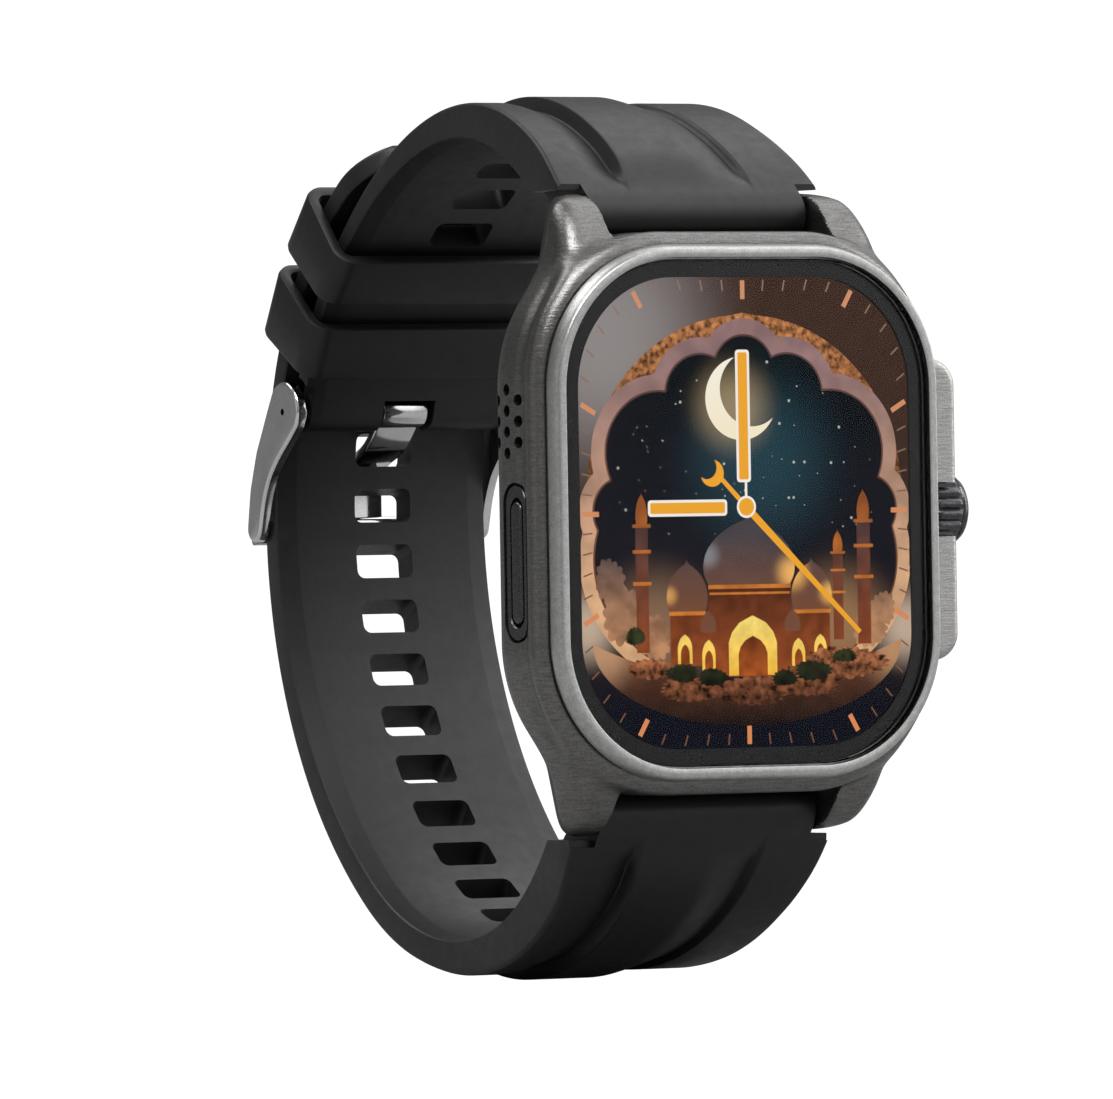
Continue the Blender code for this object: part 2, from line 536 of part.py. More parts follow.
def walk(start, arcs, length):
    """Place and heading on a chain of tangent arcs, `length` from its start.

    The chain begins on the wrist side of the lower lug bar and turns round the wrist. It returns
    (y, z) in metres and the heading in radians; a negative length is straight on backwards.
    """
    heading = math.radians(start)
    y = BAR_Y - BARREL_RADIUS * math.sin(heading)
    z = -BAR_Z + BARREL_RADIUS * math.cos(heading)
    if length <= 0:
        return y + length * math.cos(heading), z + length * math.sin(heading), heading
    for radius_mm, sweep in arcs:
        radius = radius_mm * MM
        turn = math.radians(sweep)
        step = min(turn, length / radius)
        y += radius * (math.sin(heading + step) - math.sin(heading))
        z -= radius * (math.cos(heading + step) - math.cos(heading))
        heading += step
        length -= step * radius
        if length <= 1e-9:
            break
    return y + length * math.cos(heading), z + length * math.sin(heading), heading


def path_length(arcs):
    return sum(radius * MM * math.radians(sweep) for radius, sweep in arcs)


def between(table, s):
    """A value from a table of (length, value) pairs in millimetres, straight between its rows."""
    s /= MM
    for (s0, v0), (s1, v1) in zip(table, table[1:]):
        if s <= s1:
            share = max(0.0, (s - s0) / (s1 - s0))
            return (v0 + (v1 - v0) * share) * MM
    return table[-1][1] * MM


def strap_section(half_w, low, thick, relief):
    """Points (x, height) round one cross-section; `relief` 0 to 1 is how deep the grooves are."""
    edge = 0.45 * MM
    top = low + thick
    edge = min(edge, thick * 0.3)
    corner_in = min(2.0 * MM, half_w * 0.3)
    points = [(-half_w + corner_in, low), (half_w - corner_in, low)]
    points += [(half_w, low + edge), (half_w, top - edge), (half_w - edge, top)]
    share = half_w / (HALF_WIDTHS[0][1] * MM)
    grooves = ((6.5, 0), (6.2, -0.6), (1.5, 0.55), (-6.1, 0.55), (-6.4, -0.8), (-9.5, 0))
    points += [(x * MM * share, top + height * MM * relief) for x, height in grooves]
    points += [(-half_w + edge, top), (-half_w, top - edge), (-half_w, low + edge)]
    return points


def loft(name, finish, sections, origin=(0, 0, 0)):
    """Skin a list of equal point loops and close both ends."""
    bm = bmesh.new()
    loops = [[bm.verts.new(p) for p in section] for section in sections]
    for a, b in zip(loops, loops[1:]):
        for i in range(len(a)):
            j = (i + 1) % len(a)
            bm.faces.new((a[i], a[j], b[j], b[i]))
    bm.faces.new(loops[0])
    bm.faces.new(loops[-1])
    return add_object(name, bm, finish, origin)


def strap_half(name, start, arcs, thickness, flip, fade_from, end):
    """One strap half as a loft; `end` is 'tail' for a tapered tip or 'sleeve' for a bar loop."""
    total = path_length(arcs)
    stations = []
    for degrees in (70, 45, 20):
        a = math.radians(degrees)
        stations.append((-BARREL_RADIUS * math.sin(a), BARREL_RADIUS * (1 - math.cos(a)),
                         2 * BARREL_RADIUS * math.cos(a), 1.0))
    count = round(total / (3.2 * MM))
    for i in range(count + 1):
        s = total * i / count
        stations.append((s, 0, between(thickness, s), 1.0))
    if end == "sleeve":
        stations.pop()
        stations.append((total - 1.5 * MM, 0, 2 * SLEEVE_RADIUS * 0.9, 1.0))
        for degrees in (0, 30, 55, 75):
            a = math.radians(degrees)
            stations.append((total + SLEEVE_RADIUS * math.sin(a), SLEEVE_RADIUS * (1 - math.cos(a)),
                             2 * SLEEVE_RADIUS * math.cos(a), 1.0))
    else:
        tip = 7 * MM
        stations = [row for row in stations if row[0] < total - tip]
        for degrees in (0, 25, 45, 60, 72, 82):
            a = math.radians(degrees)
            s = total - tip + tip * math.sin(a)
            stations.append((s, 0, between(thickness, s), max(0.3, math.cos(a) ** 0.6)))
    sections = []
    for s, low, thick, narrow in stations:
        y, z, heading = walk(start, arcs, s)
        half_w = between(HALF_WIDTHS, s) * narrow
        rise = min(1.0, max(0.0, (s - 2 * MM) / (12 * MM)))
        fade = min(1.0, max(0.0, (fade_from + 12 * MM - s) / (12 * MM)))
        loop = []
        for x, height in strap_section(half_w, low, thick, rise * fade):
            py = y + height * math.sin(heading)
            pz = z - height * math.cos(heading)
            loop.append((x, py, -pz if flip else pz))
        sections.append(loop)
    strap = loft(name, "rubber", sections)
    for side in (1, -1):
        x = sorted((side * (LUG_GAP_HALF - GAP), side * 20 * MM))
        z = (0, EAR_Z) if flip else (-EAR_Z, 0)
        cut(strap, add_object("lug_notch", box(x, (0, 20 * MM), z)))
    bar_z = BAR_Z if flip else -BAR_Z
    cut(strap, add_object("lug_bar_bore", rod("X", (BAR_Y, bar_z), -20 * MM, 20 * MM, BAR_RADIUS + GAP, 16)))
    return strap


def strap_slot(start, arcs, s, flip):
    """A rounded through slot across the strap at length `s`."""
    y, z, heading = walk(start, arcs, s)
    bm = box((-SLOT_WIDE / 2, SLOT_WIDE / 2), (-4 * MM, 7 * MM), (-SLOT_LONG / 2, SLOT_LONG / 2),
             SLOT_CORNER, "Y", 2)
    # local Y runs through the strap and local Z along it, both turned by the lean
    turned = heading - math.radians(SLOT_LEAN)
    outward = Vector((0, math.sin(turned), -math.cos(turned)))
    along = Vector((0, math.cos(turned), math.sin(turned)))
    turn = Matrix((Vector((1, 0, 0)), outward, along)).transposed().to_4x4()
    bmesh.ops.transform(bm, verts=bm.verts, matrix=Matrix.Translation((0, y, z)) @ turn)
    if flip:
        mirrored(bm, "Z")
    return add_object("strap_slot", bm)


def buckle_bar_centre():
    """The bar's place: one sleeve radius out from the end of the upper half's wrist side."""
    y, z, heading = walk(PIN_START, PIN_ARCS, path_length(PIN_ARCS))
    return y + SLEEVE_RADIUS * math.sin(heading), -(z - SLEEVE_RADIUS * math.cos(heading))


def last_arc_centre(start, arcs):
    """Centre of a strap half's last arc, in the lower half's orientation."""
    y, z, heading = walk(start, arcs, path_length(arcs))
    radius = arcs[-1][0] * MM
    return y - radius * math.sin(heading), z + radius * math.cos(heading)


def straps():
    hole = strap_half("strap_bottom", HOLE_START, HOLE_ARCS, HOLE_THICKNESS, False, 30 * MM, "tail")
    total = path_length(HOLE_ARCS)
    for i in range(HOLE_SLOTS):
        cut(hole, strap_slot(HOLE_START, HOLE_ARCS, total - FIRST_HOLE - i * SLOT_PITCH, False))
    pin = strap_half("strap_top", PIN_START, PIN_ARCS, PIN_THICKNESS, True, 20 * MM, "sleeve")
    total = path_length(PIN_ARCS)
    for i in range(VENT_SLOTS):
        cut(pin, strap_slot(PIN_START, PIN_ARCS, total - FIRST_VENT - i * SLOT_PITCH, True))
    centre = buckle_bar_centre()
    cut(pin, add_object("buckle_bar_bore", rod("X", centre, -20 * MM, 20 * MM, BUCKLE_BAR_RADIUS + GAP, 14)))
    opening_half = KNUCKLE_HALF + GAP
    cut(pin, add_object("knuckle_opening", rod("X", centre, -opening_half, opening_half, 3.2 * MM, 24)))
    for side in (1, -1):
        x = sorted((side * 9.8 * MM, side * 20 * MM))
        cut(pin, add_object("arm_boss_space", rod("X", centre, x[0], x[1], 3.2 * MM, 24)))


# ---------------------------------------------------------------- spring bars

def spring_bars():
    for end, word in ((1, "top"), (-1, "bottom")):
        centre = (BAR_Y, end * BAR_Z)
        bar = add_object(f"lug_bar_{word}", rod("X", centre, -BAR_HALF, BAR_HALF, BAR_RADIUS, 14), "steel")
        for side, hand in ((-1, "left"), (1, "right")):
            bore = sorted((side * 6.0 * MM, side * 12 * MM))
            cut(bar, add_object("tip_bore", rod("X", centre, bore[0], bore[1], TIP_RADIUS + FIT, 12)))
            tip = sorted((side * 7.6 * MM, side * TIP_REACH))
            origin = (side * LUG_GAP_HALF, centre[0], centre[1])
            add_object(f"lug_bar_{word}_tip_{hand}", rod("X", centre, tip[0], tip[1], TIP_RADIUS, 12),
                       "steel", origin)


# ---------------------------------------------------------------- buckle and keepers

def ring_of_points(centre, radius, first, last, count):
    """Points (y, z) on an arc, angles in degrees from +Y towards +Z."""
    points = []
    for i in range(count + 1):
        a = math.radians(first + (last - first) * i / max(count, 1))
        points.append((centre[0] + radius * math.cos(a), centre[1] + radius * math.sin(a)))
    return points


def arm_outline():
    """Side view of a buckle arm: a round head on the bar, bending in an S down to the far bar."""
    head = buckle_bar_centre()
    knee = (head[0] + 3.6 * MM, head[1] - 4.2 * MM)
    shin = (head[0] + 5.0 * MM, head[1] - 7.2 * MM)
    foot = (FAR_BAR_Y - 0.85 * MM, FAR_BAR_Z + 0.25 * MM)
    points = ring_of_points(head, ARM_HEAD, 41, 215, 9)
    points += ring_of_points(knee, ARM_KNEE, 213, 213, 0)
    points += ring_of_points(shin, ARM_SHIN, 199, 199, 0)
    points += ring_of_points(foot, ARM_FOOT, 192, 372, 5)
    points += ring_of_points(shin, ARM_SHIN, 13, 25, 1)
    points += ring_of_points(knee, ARM_KNEE, 26, 41, 1)
    return points


def buckle():
    centre = buckle_bar_centre()
    origin = (0, centre[0], centre[1])
    bar_half = ARM_OUTER - 0.6 * MM
    add_object("buckle_bar", rod("X", centre, -bar_half, bar_half, BUCKLE_BAR_RADIUS, 14), "steel", origin)

    far_bar = box((-ARM_INNER - GAP, ARM_INNER + GAP), (FAR_BAR_Y - 0.55 * MM, FAR_BAR_Y + 0.55 * MM),
                  (FAR_BAR_Z - 1.2 * MM, FAR_BAR_Z + 1.2 * MM), 0.5 * MM, "X", 3)
    frame = add_object("buckle_frame", far_bar, "steel", origin)
    for side in (1, -1):
        arm = outline(arm_outline(), ARM_INNER, ARM_OUTER, 0.25 * MM)
        boss = rod("X", centre, 10.1 * MM, ARM_INNER + GAP, 1.45 * MM, 16)
        bore = rod("X", centre, 9 * MM, ARM_OUTER - 0.35 * MM, BUCKLE_BAR_RADIUS + GAP, 14)
        pinhole = rod("X", centre, 11 * MM, 13 * MM, 0.3 * MM, 8)
        shapes = (arm, boss, bore, pinhole)
        if side < 0:
            shapes = [mirrored(shape, "X") for shape in shapes]
        arm, boss, bore, pinhole = [add_object("arm_shape", shape) for shape in shapes]
        join(frame, arm, boss)
        cut(frame, bore, pinhole)
    rest = box((-TANG_HALF - GAP, TANG_HALF + GAP), (FAR_BAR_Y + 0.05 * MM, FAR_BAR_Y + 2 * MM),
               (FAR_BAR_Z - 2 * MM, FAR_BAR_Z + 2 * MM))
    cut(frame, add_object("tang_rest", rest))

    tang(centre, origin)


def tang(centre, origin):
    """A blade bent round the bar, out through a strap slot and down onto the far bar."""
    y, z = centre
    rest_y = FAR_BAR_Y + 0.05 * MM + GAP + TANG_THICK / 2
    path = [(y + 0.5 * MM, z - 1.1 * MM), (y + 1.8 * MM, z - 2.5 * MM), (y + 3.1 * MM, z - 3.5 * MM)]
    path += [(y + 5.2 * MM, z - 4.3 * MM), (rest_y - 0.75 * MM, z - 4.9 * MM), (rest_y - 0.2 * MM, z - 5.6 * MM)]
    path += [(rest_y, z - 6.6 * MM), (rest_y, FAR_BAR_Z - 0.6 * MM)]
    blade = bent_strip("tang_blade", None, TANG_HALF, path, TANG_THICK)
    knuckle = rod("X", centre, -KNUCKLE_HALF, KNUCKLE_HALF, KNUCKLE_RADIUS, 20)
    piece = add_object("buckle_tang", knuckle, "steel", origin)
    join(piece, blade)
    cut(piece, add_object("tang_bore", rod("X", centre, -4 * MM, 4 * MM, BUCKLE_BAR_RADIUS + GAP, 14)))


def keepers():
    """Loops round both strap layers, at rest on the upper half's last arc."""
    y, z = last_arc_centre(PIN_START, PIN_ARCS)
    centre = (y, -z)
    inner_radius = PIN_ARCS[-1][0] * MM - GAP
    half = KEEPER_INNER_HALF + KEEPER_WALL
    for name, (first, last, lean) in KEEPERS.items():
        shell = sector(centre, inner_radius - KEEPER_WALL, KEEPER_OUTER_RADIUS, first, last, lean, half)
        loop = add_object(name, shell, "rubber", (0, centre[0], centre[1]))
        hole = sector(centre, inner_radius, KEEPER_OUTER_RADIUS - KEEPER_WALL, first - 3, last + 3, lean,
                      KEEPER_INNER_HALF)
        cut(loop, add_object(name + "_hole", hole))


def sector(centre, low, high, first, last, lean, half_width):
    """A piece of a ring about an X axis; its inner radius starts and ends `lean` degrees earlier."""
    points = ring_of_points(centre, high, first, last, 3)
    points += ring_of_points(centre, low, last - lean, first - lean, 3)
    return outline(points, -half_width, half_width)


front_assembly()
display_flex()
mid_case()
back_assembly()
internals()
crown_assembly()
button_assembly()
straps()
spring_bars()
buckle()
keepers()
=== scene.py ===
import math
import random

import bmesh
import bpy
import numpy as np
from mathutils import Matrix, Vector


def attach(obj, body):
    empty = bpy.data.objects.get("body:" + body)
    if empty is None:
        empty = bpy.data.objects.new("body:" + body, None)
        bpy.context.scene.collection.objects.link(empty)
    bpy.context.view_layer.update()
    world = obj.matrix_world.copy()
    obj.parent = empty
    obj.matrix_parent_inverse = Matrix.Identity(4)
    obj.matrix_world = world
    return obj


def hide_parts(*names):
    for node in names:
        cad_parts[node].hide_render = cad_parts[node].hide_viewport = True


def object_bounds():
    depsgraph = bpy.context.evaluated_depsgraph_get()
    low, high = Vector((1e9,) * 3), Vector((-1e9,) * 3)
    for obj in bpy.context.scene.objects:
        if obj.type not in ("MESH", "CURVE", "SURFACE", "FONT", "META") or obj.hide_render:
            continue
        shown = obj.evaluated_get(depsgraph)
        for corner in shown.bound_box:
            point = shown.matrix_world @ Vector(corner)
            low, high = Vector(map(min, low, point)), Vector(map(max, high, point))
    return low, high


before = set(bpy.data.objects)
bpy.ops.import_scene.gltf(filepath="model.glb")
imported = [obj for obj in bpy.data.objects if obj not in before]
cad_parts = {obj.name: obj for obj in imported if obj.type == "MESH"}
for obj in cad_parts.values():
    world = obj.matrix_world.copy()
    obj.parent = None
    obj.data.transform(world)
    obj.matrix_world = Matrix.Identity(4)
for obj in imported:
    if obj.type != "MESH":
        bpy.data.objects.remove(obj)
cad_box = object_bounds()

# All shapes below are worked out in millimetres and turned into metres when a mesh is made.
MM = 0.001
FIT = 0.15
GAP = 0.3
BUMP_HEIGHT = 0.05 * MM

# Cover glass, ring and display
GLASS_HALF_W, GLASS_HALF_H, GLASS_CORNER = 17.9, 21.55, 11.0
GLASS_BACK = 0.8
RING_BACK, SPIGOT_BACK = 1.55, 2.95
LIT_HALF_W, LIT_HALF_H, LIT_CORNER = 16.45, 20.05, 9.6
LAYER_BACK, LAYER_MIDDLE, LAYER_STEP, LAYER_THICK = 0.985, 0.9, 0.0125, 0.009

# Case
CASE_HALF_W, CASE_HALF_H, CASE_CORNER = 20.1, 24.0, 13.0
CASE_FRONT, CASE_WAIST, CASE_BACK = 1.85, 7.45, 11.9
FRONT_ROUND, BACK_ROUND = 1.3, 2.0
BACK_HALF_W, BACK_HALF_H = 17.5, 22.6
VALLEY_Y, VALLEY_DEEP, VALLEY_WIDE = 4.5, 0.28, 0.75
CAVITY_HALF_W, CAVITY_HALF_H, CAVITY_CORNER = 17.9, 21.8, 10.8
FLANGE_FRONT, FLANGE_BACK = 10.2, 11.0
SCREW_X, SCREW_Z = 12.6, 16.6
LUG_INNER, LUG_TIP_X, LUG_ROOT_X, LUG_TIP_Z, LUG_ROOT_Z = 11.0, 14.6, 16.6, 27.6, 18.0
HOOK_Y, HOOK_Z, HOOK_RADIUS = 11.6, 20.0, 8.2
BAR_Y, BAR_Z, SPRING_BAR = 9.65, 25.6, 0.85
COVER_HALF_W, COVER_HALF_H, COVER_CORNER, LENS_RADIUS = 16.0, 20.0, 9.5, 8.0
# Grid step of the case surface
CELL = 0.25
CROWN_Y, CROWN_RADIUS, CROWN_RIBS = 6.5, 3.3, 18
GUARD_INNER, GUARD_OUTER, GUARD_FRONT, GUARD_BACK, GUARD_HALF = 17.0, 22.7, 3.0, 9.8, 13.0
BUTTON_Y, BUTTON_Z, BUTTON_LONG, BUTTON_WIDE = 5.6, -4.0, 10.4, 1.7
BEZEL_LONG, BEZEL_WIDE = 13.2, 3.3
SPEAKER_Z, SPEAKER_PITCH, SPEAKER_COLUMNS = 8.0, 1.79, ((5.0, 3), (6.6, 4), (8.2, 3))

# Strap halves along their wrist sides: start heading and arcs as (radius, sweep in degrees)
BARREL_RADIUS, SLEEVE_RADIUS = 1.9, 1.8
HOLE_START, HOLE_ARCS = -47.8, ((60.9, 10.2), (23.4, 74.5), (40.7, 63.4), (32.2, 55.0))
PIN_START, PIN_ARCS = -38.3, ((58.1, 10.7), (23.1, 49.8), (33.0, 52.2))
HALF_WIDTHS = ((0, 13.0), (3, 12.85), (7, 12.2), (11, 11.8), (17, 11.35), (22, 10.95), (27, 10.7))
HOLE_THICKNESS = ((0, 3.8), (3, 4.5), (7, 5.0), (10, 4.8), (15, 4.3), (21, 3.6), (30, 3.0), (52, 3.0),
                  (75, 2.6), (85, 2.4), (130, 2.3))
PIN_THICKNESS = ((0, 3.8), (3, 4.2), (7, 4.4), (12, 4.1), (17, 3.7), (22, 3.2), (30, 2.6), (36, 2.3),
                 (42, 2.1))
# Height of the outer face over the plain strap, across its width at the lug
CREST = ((-13.0, 0), (-9.5, 0), (-6.4, -0.8), (-6.1, 0.55), (1.5, 0.55), (6.2, -0.6), (6.5, 0), (13.0, 0))
EAR_Z = 28.4
SLOT_LONG, SLOT_WIDE, SLOT_CORNER, SLOT_LEAN, SLOT_PITCH = 2.9, 5.7, 0.7, 14.0, 5.0
HOLE_SLOTS, VENT_SLOTS, FIRST_HOLE, FIRST_VENT = 16, 5, 7.65, 19.0
# Cutting tools: how far past the strap's edges, and the radii of the room for the arms and the knuckle
PAST_EDGE, SLEEVE_HALF, ARM_ROOM, KNUCKLE_ROOM = 20, 9.8, 3.2, 2.3

# Buckle and keepers
BUCKLE_BAR, KNUCKLE_RADIUS, KNUCKLE_HALF = 0.7, 1.5, 2.3
TANG_THICK, TANG_HALF = 0.8, 2.1
ARM_INNER, ARM_OUTER = 11.0, 11.9
FAR_BAR_Y, FAR_BAR_Z = 66.95, -0.9
KEEPER_WALL, KEEPER_INNER_HALF, KEEPER_OUTER_RADIUS = 1.2, 11.0, 41.1
# Each keeper's body, first and last angle, and how much further it reaches round on its inner side
KEEPERS = {"keeper_upper": ("upper_keeper", 36.8, 45.6, 0.8),
           "keeper_lower": ("lower_keeper", 24.5, 33.4, 2.0)}


# ---------------------------------------------------------------- materials

def srgb(red, green, blue):
    """A display colour of 0 to 255 as the linear values that a shader takes."""
    return (*[(c / 255 / 12.92) if c <= 10 else ((c / 255 + 0.055) / 1.055) ** 2.4
              for c in (red, green, blue)], 1.0)


def add_node(tree, kind, inputs=(), **settings):
    """A shader node with its inputs set or linked, by input name or number."""
    made = tree.nodes.new(kind)
    for key, value in settings.items():
        setattr(made, key, value)
    for key, value in dict(inputs).items():
        if isinstance(value, bpy.types.NodeSocket):
            tree.links.new(value, made.inputs[key])
        else:
            made.inputs[key].default_value = value
    return made


def start_material(name):
    made = bpy.data.materials.new(name)
    made.use_nodes = True
    return made, made.node_tree, made.node_tree.nodes["Principled BSDF"]


def end_with(tree, shader, last):
    """Use the node `last` for the surface in place of the principled shader."""
    tree.links.new(last.outputs[0], tree.nodes["Material Output"].inputs["Surface"])
    tree.nodes.remove(shader)


def noise(tree, place, scale, detail=5.0):
    """Noise stretched by three numbers per metre."""
    stretched = add_node(tree, "ShaderNodeMapping", {"Vector": place, "Scale": scale})
    return add_node(tree, "ShaderNodeTexNoise",
                    {"Vector": stretched.outputs[0], "Scale": 1.0, "Detail": detail})


def blend_colours(tree, factor, first, second):
    mixed = add_node(tree, "ShaderNodeMix", data_type="RGBA")
    tree.links.new(factor, mixed.inputs[0])
    for index, value in ((6, first), (7, second)):
        if isinstance(value, bpy.types.NodeSocket):
            tree.links.new(value, mixed.inputs[index])
        else:
            mixed.inputs[index].default_value = value
    return mixed.outputs[2]


def remap(tree, value, low, high, new_low=0.0, new_high=1.0):
    made = add_node(tree, "ShaderNodeMapRange", {"Value": value, "From Min": low, "From Max": high,
                                                 "To Min": new_low, "To Max": new_high})
    return made.outputs[0]


def grained(name, dark, light, roughness, scale, bump, metallic=1.0, speck=6000.0):
    """A finish between two display colours that follows a stretched grain and a fine speckle."""
    made, tree, shader = start_material(name)
    place = add_node(tree, "ShaderNodeTexCoord").outputs["Object"]
    grain = noise(tree, place, scale)
    fine = noise(tree, place, (speck, speck, speck), 3.0)
    both = add_node(tree, "ShaderNodeMath", {0: grain.outputs["Fac"], 1: fine.outputs["Fac"]},
                    operation="ADD")
    factor = remap(tree, both.outputs[0], 0.75, 1.25)
    colour = blend_colours(tree, factor, srgb(*dark), srgb(*light))
    tree.links.new(colour, shader.inputs["Base Color"])
    tree.links.new(remap(tree, both.outputs[0], 0.7, 1.3, roughness * 1.15, roughness * 0.85),
                   shader.inputs["Roughness"])
    bumped = add_node(tree, "ShaderNodeBump",
                      {"Height": both.outputs[0], "Strength": bump, "Distance": BUMP_HEIGHT})
    tree.links.new(bumped.outputs[0], shader.inputs["Normal"])
    shader.inputs["Metallic"].default_value = metallic
    return made


def rubber_finish():
    """Satin moulded silicone: near black, a soft sheen, a fine moulded texture."""
    made = grained("satin_silicone", (12, 12, 13), (18, 18, 19), 0.44, (900, 900, 900), 0.2, 0.0, 9000)
    shader = made.node_tree.nodes["Principled BSDF"]
    shader.inputs["Specular IOR Level"].default_value = 0.45
    shader.inputs["Sheen Weight"].default_value = 0.03
    shader.inputs["Sheen Roughness"].default_value = 0.4
    return made


def glass_finish():
    """Clear glass as a see-through sheet with a mirror-like coat that grows towards grazing angles."""
    made, tree, shader = start_material("clear_glass")
    clear = add_node(tree, "ShaderNodeBsdfTransparent", {"Color": (0.97, 0.97, 0.98, 1)})
    gloss = add_node(tree, "ShaderNodeBsdfGlossy", {"Color": (0.12, 0.12, 0.12, 1), "Roughness": 0.02})
    edge = add_node(tree, "ShaderNodeFresnel", {"IOR": 1.42})
    mix = add_node(tree, "ShaderNodeMixShader",
                   {0: edge.outputs[0], 1: clear.outputs[0], 2: gloss.outputs[0]})
    end_with(tree, shader, mix)
    return made


def sensor_finish():
    """Black glossy window with printed rings and four round light windows under it."""
    made, tree, shader = start_material("sensor_glass")
    place = add_node(tree, "ShaderNodeTexCoord").outputs["Object"]
    parts = add_node(tree, "ShaderNodeSeparateXYZ", {0: place})
    flat = add_node(tree, "ShaderNodeCombineXYZ", {0: parts.outputs["X"], 1: parts.outputs["Z"]})
    reach = add_node(tree, "ShaderNodeVectorMath", {0: flat.outputs[0]}, operation="LENGTH")
    ring = add_node(tree, "ShaderNodeMath", {0: reach.outputs["Value"], 1: 5.6 * MM, 2: 0.18 * MM},
                    operation="COMPARE")
    colour = blend_colours(tree, ring.outputs[0], srgb(9, 9, 11), srgb(70, 70, 76))
    for x, z in ((2.6, 0), (-2.6, 0), (0, 2.6), (0, -2.6)):
        away = add_node(tree, "ShaderNodeVectorMath", {0: flat.outputs[0], 1: (x * MM, z * MM, 0)},
                        operation="DISTANCE")
        spot = add_node(tree, "ShaderNodeMath", {0: away.outputs["Value"], 1: 1.1 * MM},
                        operation="LESS_THAN")
        colour = blend_colours(tree, spot.outputs[0], colour, srgb(34, 44, 38))
    tree.links.new(colour, shader.inputs["Base Color"])
    shader.inputs["Roughness"].default_value = 0.06
    shader.inputs["Coat Weight"].default_value = 1.0
    return made


def board_finish():
    """Green circuit board with copper traces from a brick pattern."""
    made, tree, shader = start_material("circuit_board")
    place = add_node(tree, "ShaderNodeTexCoord").outputs["Object"]
    turned = add_node(tree, "ShaderNodeMapping", {"Vector": place, "Rotation": (math.pi / 2, 0, 0),
                                                 "Scale": (900, 900, 900)})
    bricks = add_node(tree, "ShaderNodeTexBrick", {"Vector": turned.outputs[0], "Scale": 1.0,
                                                  "Color1": srgb(16, 70, 42), "Color2": srgb(20, 84, 50),
                                                  "Mortar": srgb(150, 120, 60), "Mortar Size": 0.03})
    tree.links.new(bricks.outputs["Color"], shader.inputs["Base Color"])
    shader.inputs["Roughness"].default_value = 0.35
    return made


def screen_finish(name, low, high, z_low, z_high, speck=0.0, grain=700.0):
    """A lit finish from display colour `low` at z_low to `high` at z_high, with an optional mottle."""
    made, tree, shader = start_material(name)
    place = add_node(tree, "ShaderNodeTexCoord").outputs["Object"]
    height = add_node(tree, "ShaderNodeSeparateXYZ", {0: place}).outputs["Z"]
    colour = blend_colours(tree, remap(tree, height, z_low * MM, z_high * MM), srgb(*low), srgb(*high))
    if speck:
        mottle = noise(tree, place, (grain, grain, grain), 6.0)
        dim = remap(tree, mottle.outputs["Fac"], 0.35, 0.65, 1.0 - speck, 1.0 + speck)
        scaled = add_node(tree, "ShaderNodeVectorMath", {0: colour, 3: dim}, operation="SCALE")
        colour = scaled.outputs[0]
    end_with(tree, shader, add_node(tree, "ShaderNodeEmission", {"Color": colour, "Strength": 1.0}))
    return made


def add_glow(tree, place, colour, centre, reach, tint):
    """Colour brightened by a soft round glow about a point of the screen."""
    middle = (centre[0] * MM, LAYER_MIDDLE * MM, centre[1] * MM)
    away = add_node(tree, "ShaderNodeVectorMath", {0: place, 1: middle}, operation="DISTANCE")
    near = add_node(tree, "ShaderNodeMapRange", {"Value": away.outputs["Value"], "From Min": 0.0,
                                                 "From Max": reach * MM, "To Min": 1.0, "To Max": 0.0},
                    interpolation_type="SMOOTHERSTEP")
    light = add_node(tree, "ShaderNodeVectorMath", {0: tint, 3: near.outputs[0]}, operation="SCALE")
    total = add_node(tree, "ShaderNodeVectorMath", {0: colour, 1: light.outputs[0]}, operation="ADD")
    return total.outputs[0]


def glowing(name, low, high, z_low, z_high, glows, speck=0.0):
    """A screen finish with round glows laid over it."""
    made = screen_finish(name, low, high, z_low, z_high, speck)
    tree = made.node_tree
    place = next(n for n in tree.nodes if n.type == "TEX_COORD").outputs["Object"]
    light = next(n for n in tree.nodes if n.type == "EMISSION")
    colour = light.inputs["Color"].links[0].from_socket
    for centre, reach, tint in glows:
        colour = add_glow(tree, place, colour, centre, reach, tint)
    tree.links.new(colour, light.inputs["Color"])
    return made


FINISHES = {
    "gunmetal": grained("brushed_gunmetal", (98, 97, 96), (128, 127, 125), 0.33, (700, 900, 7000), 0.5),
    # crown guard: a lighter copy of the case metal, a painted highlight for the light its front face catches
    "guard_lit_metal": grained("guard_lit_metal", (158, 157, 155), (190, 189, 187), 0.36, (700, 900, 7000), 0.5),
    "ring_metal": grained("ring_metal", (168, 168, 167), (196, 196, 194), 0.34, (1500, 1500, 1500), 0.3),
    "steel": grained("polished_steel", (212, 212, 214), (228, 228, 229), 0.10, (300, 300, 300), 0.05),
    "dark_steel": grained("dark_steel", (70, 70, 72), (96, 96, 98), 0.28, (900, 5000, 5000), 0.3),
    "print": grained("black_print", (3, 3, 3), (5, 5, 5), 0.3, (900, 900, 900), 0.02, 0.0),
    "plastic": grained("black_plastic", (20, 20, 21), (30, 30, 31), 0.45, (2500, 2500, 2500), 0.3, 0.0),
    "gold": grained("gold_contact", (205, 165, 85), (228, 190, 110), 0.25, (1200, 1200, 1200), 0.1),
    "foil": grained("foil_wrap", (120, 122, 126), (160, 162, 166), 0.35, (400, 400, 400), 0.8, 0.7),
    "rubber": rubber_finish(),
    "glass": glass_finish(),
    "sensor": sensor_finish(),
    "board": board_finish(),
    "screen": grained("screen_stack", (24, 24, 28), (36, 36, 42), 0.3, (900, 900, 900), 0.1, 0.3),
}


# ---------------------------------------------------------------- making pieces

def place_object(name, data):
    obj = bpy.data.objects.new(name, data)
    bpy.context.scene.collection.objects.link(obj)
    return obj


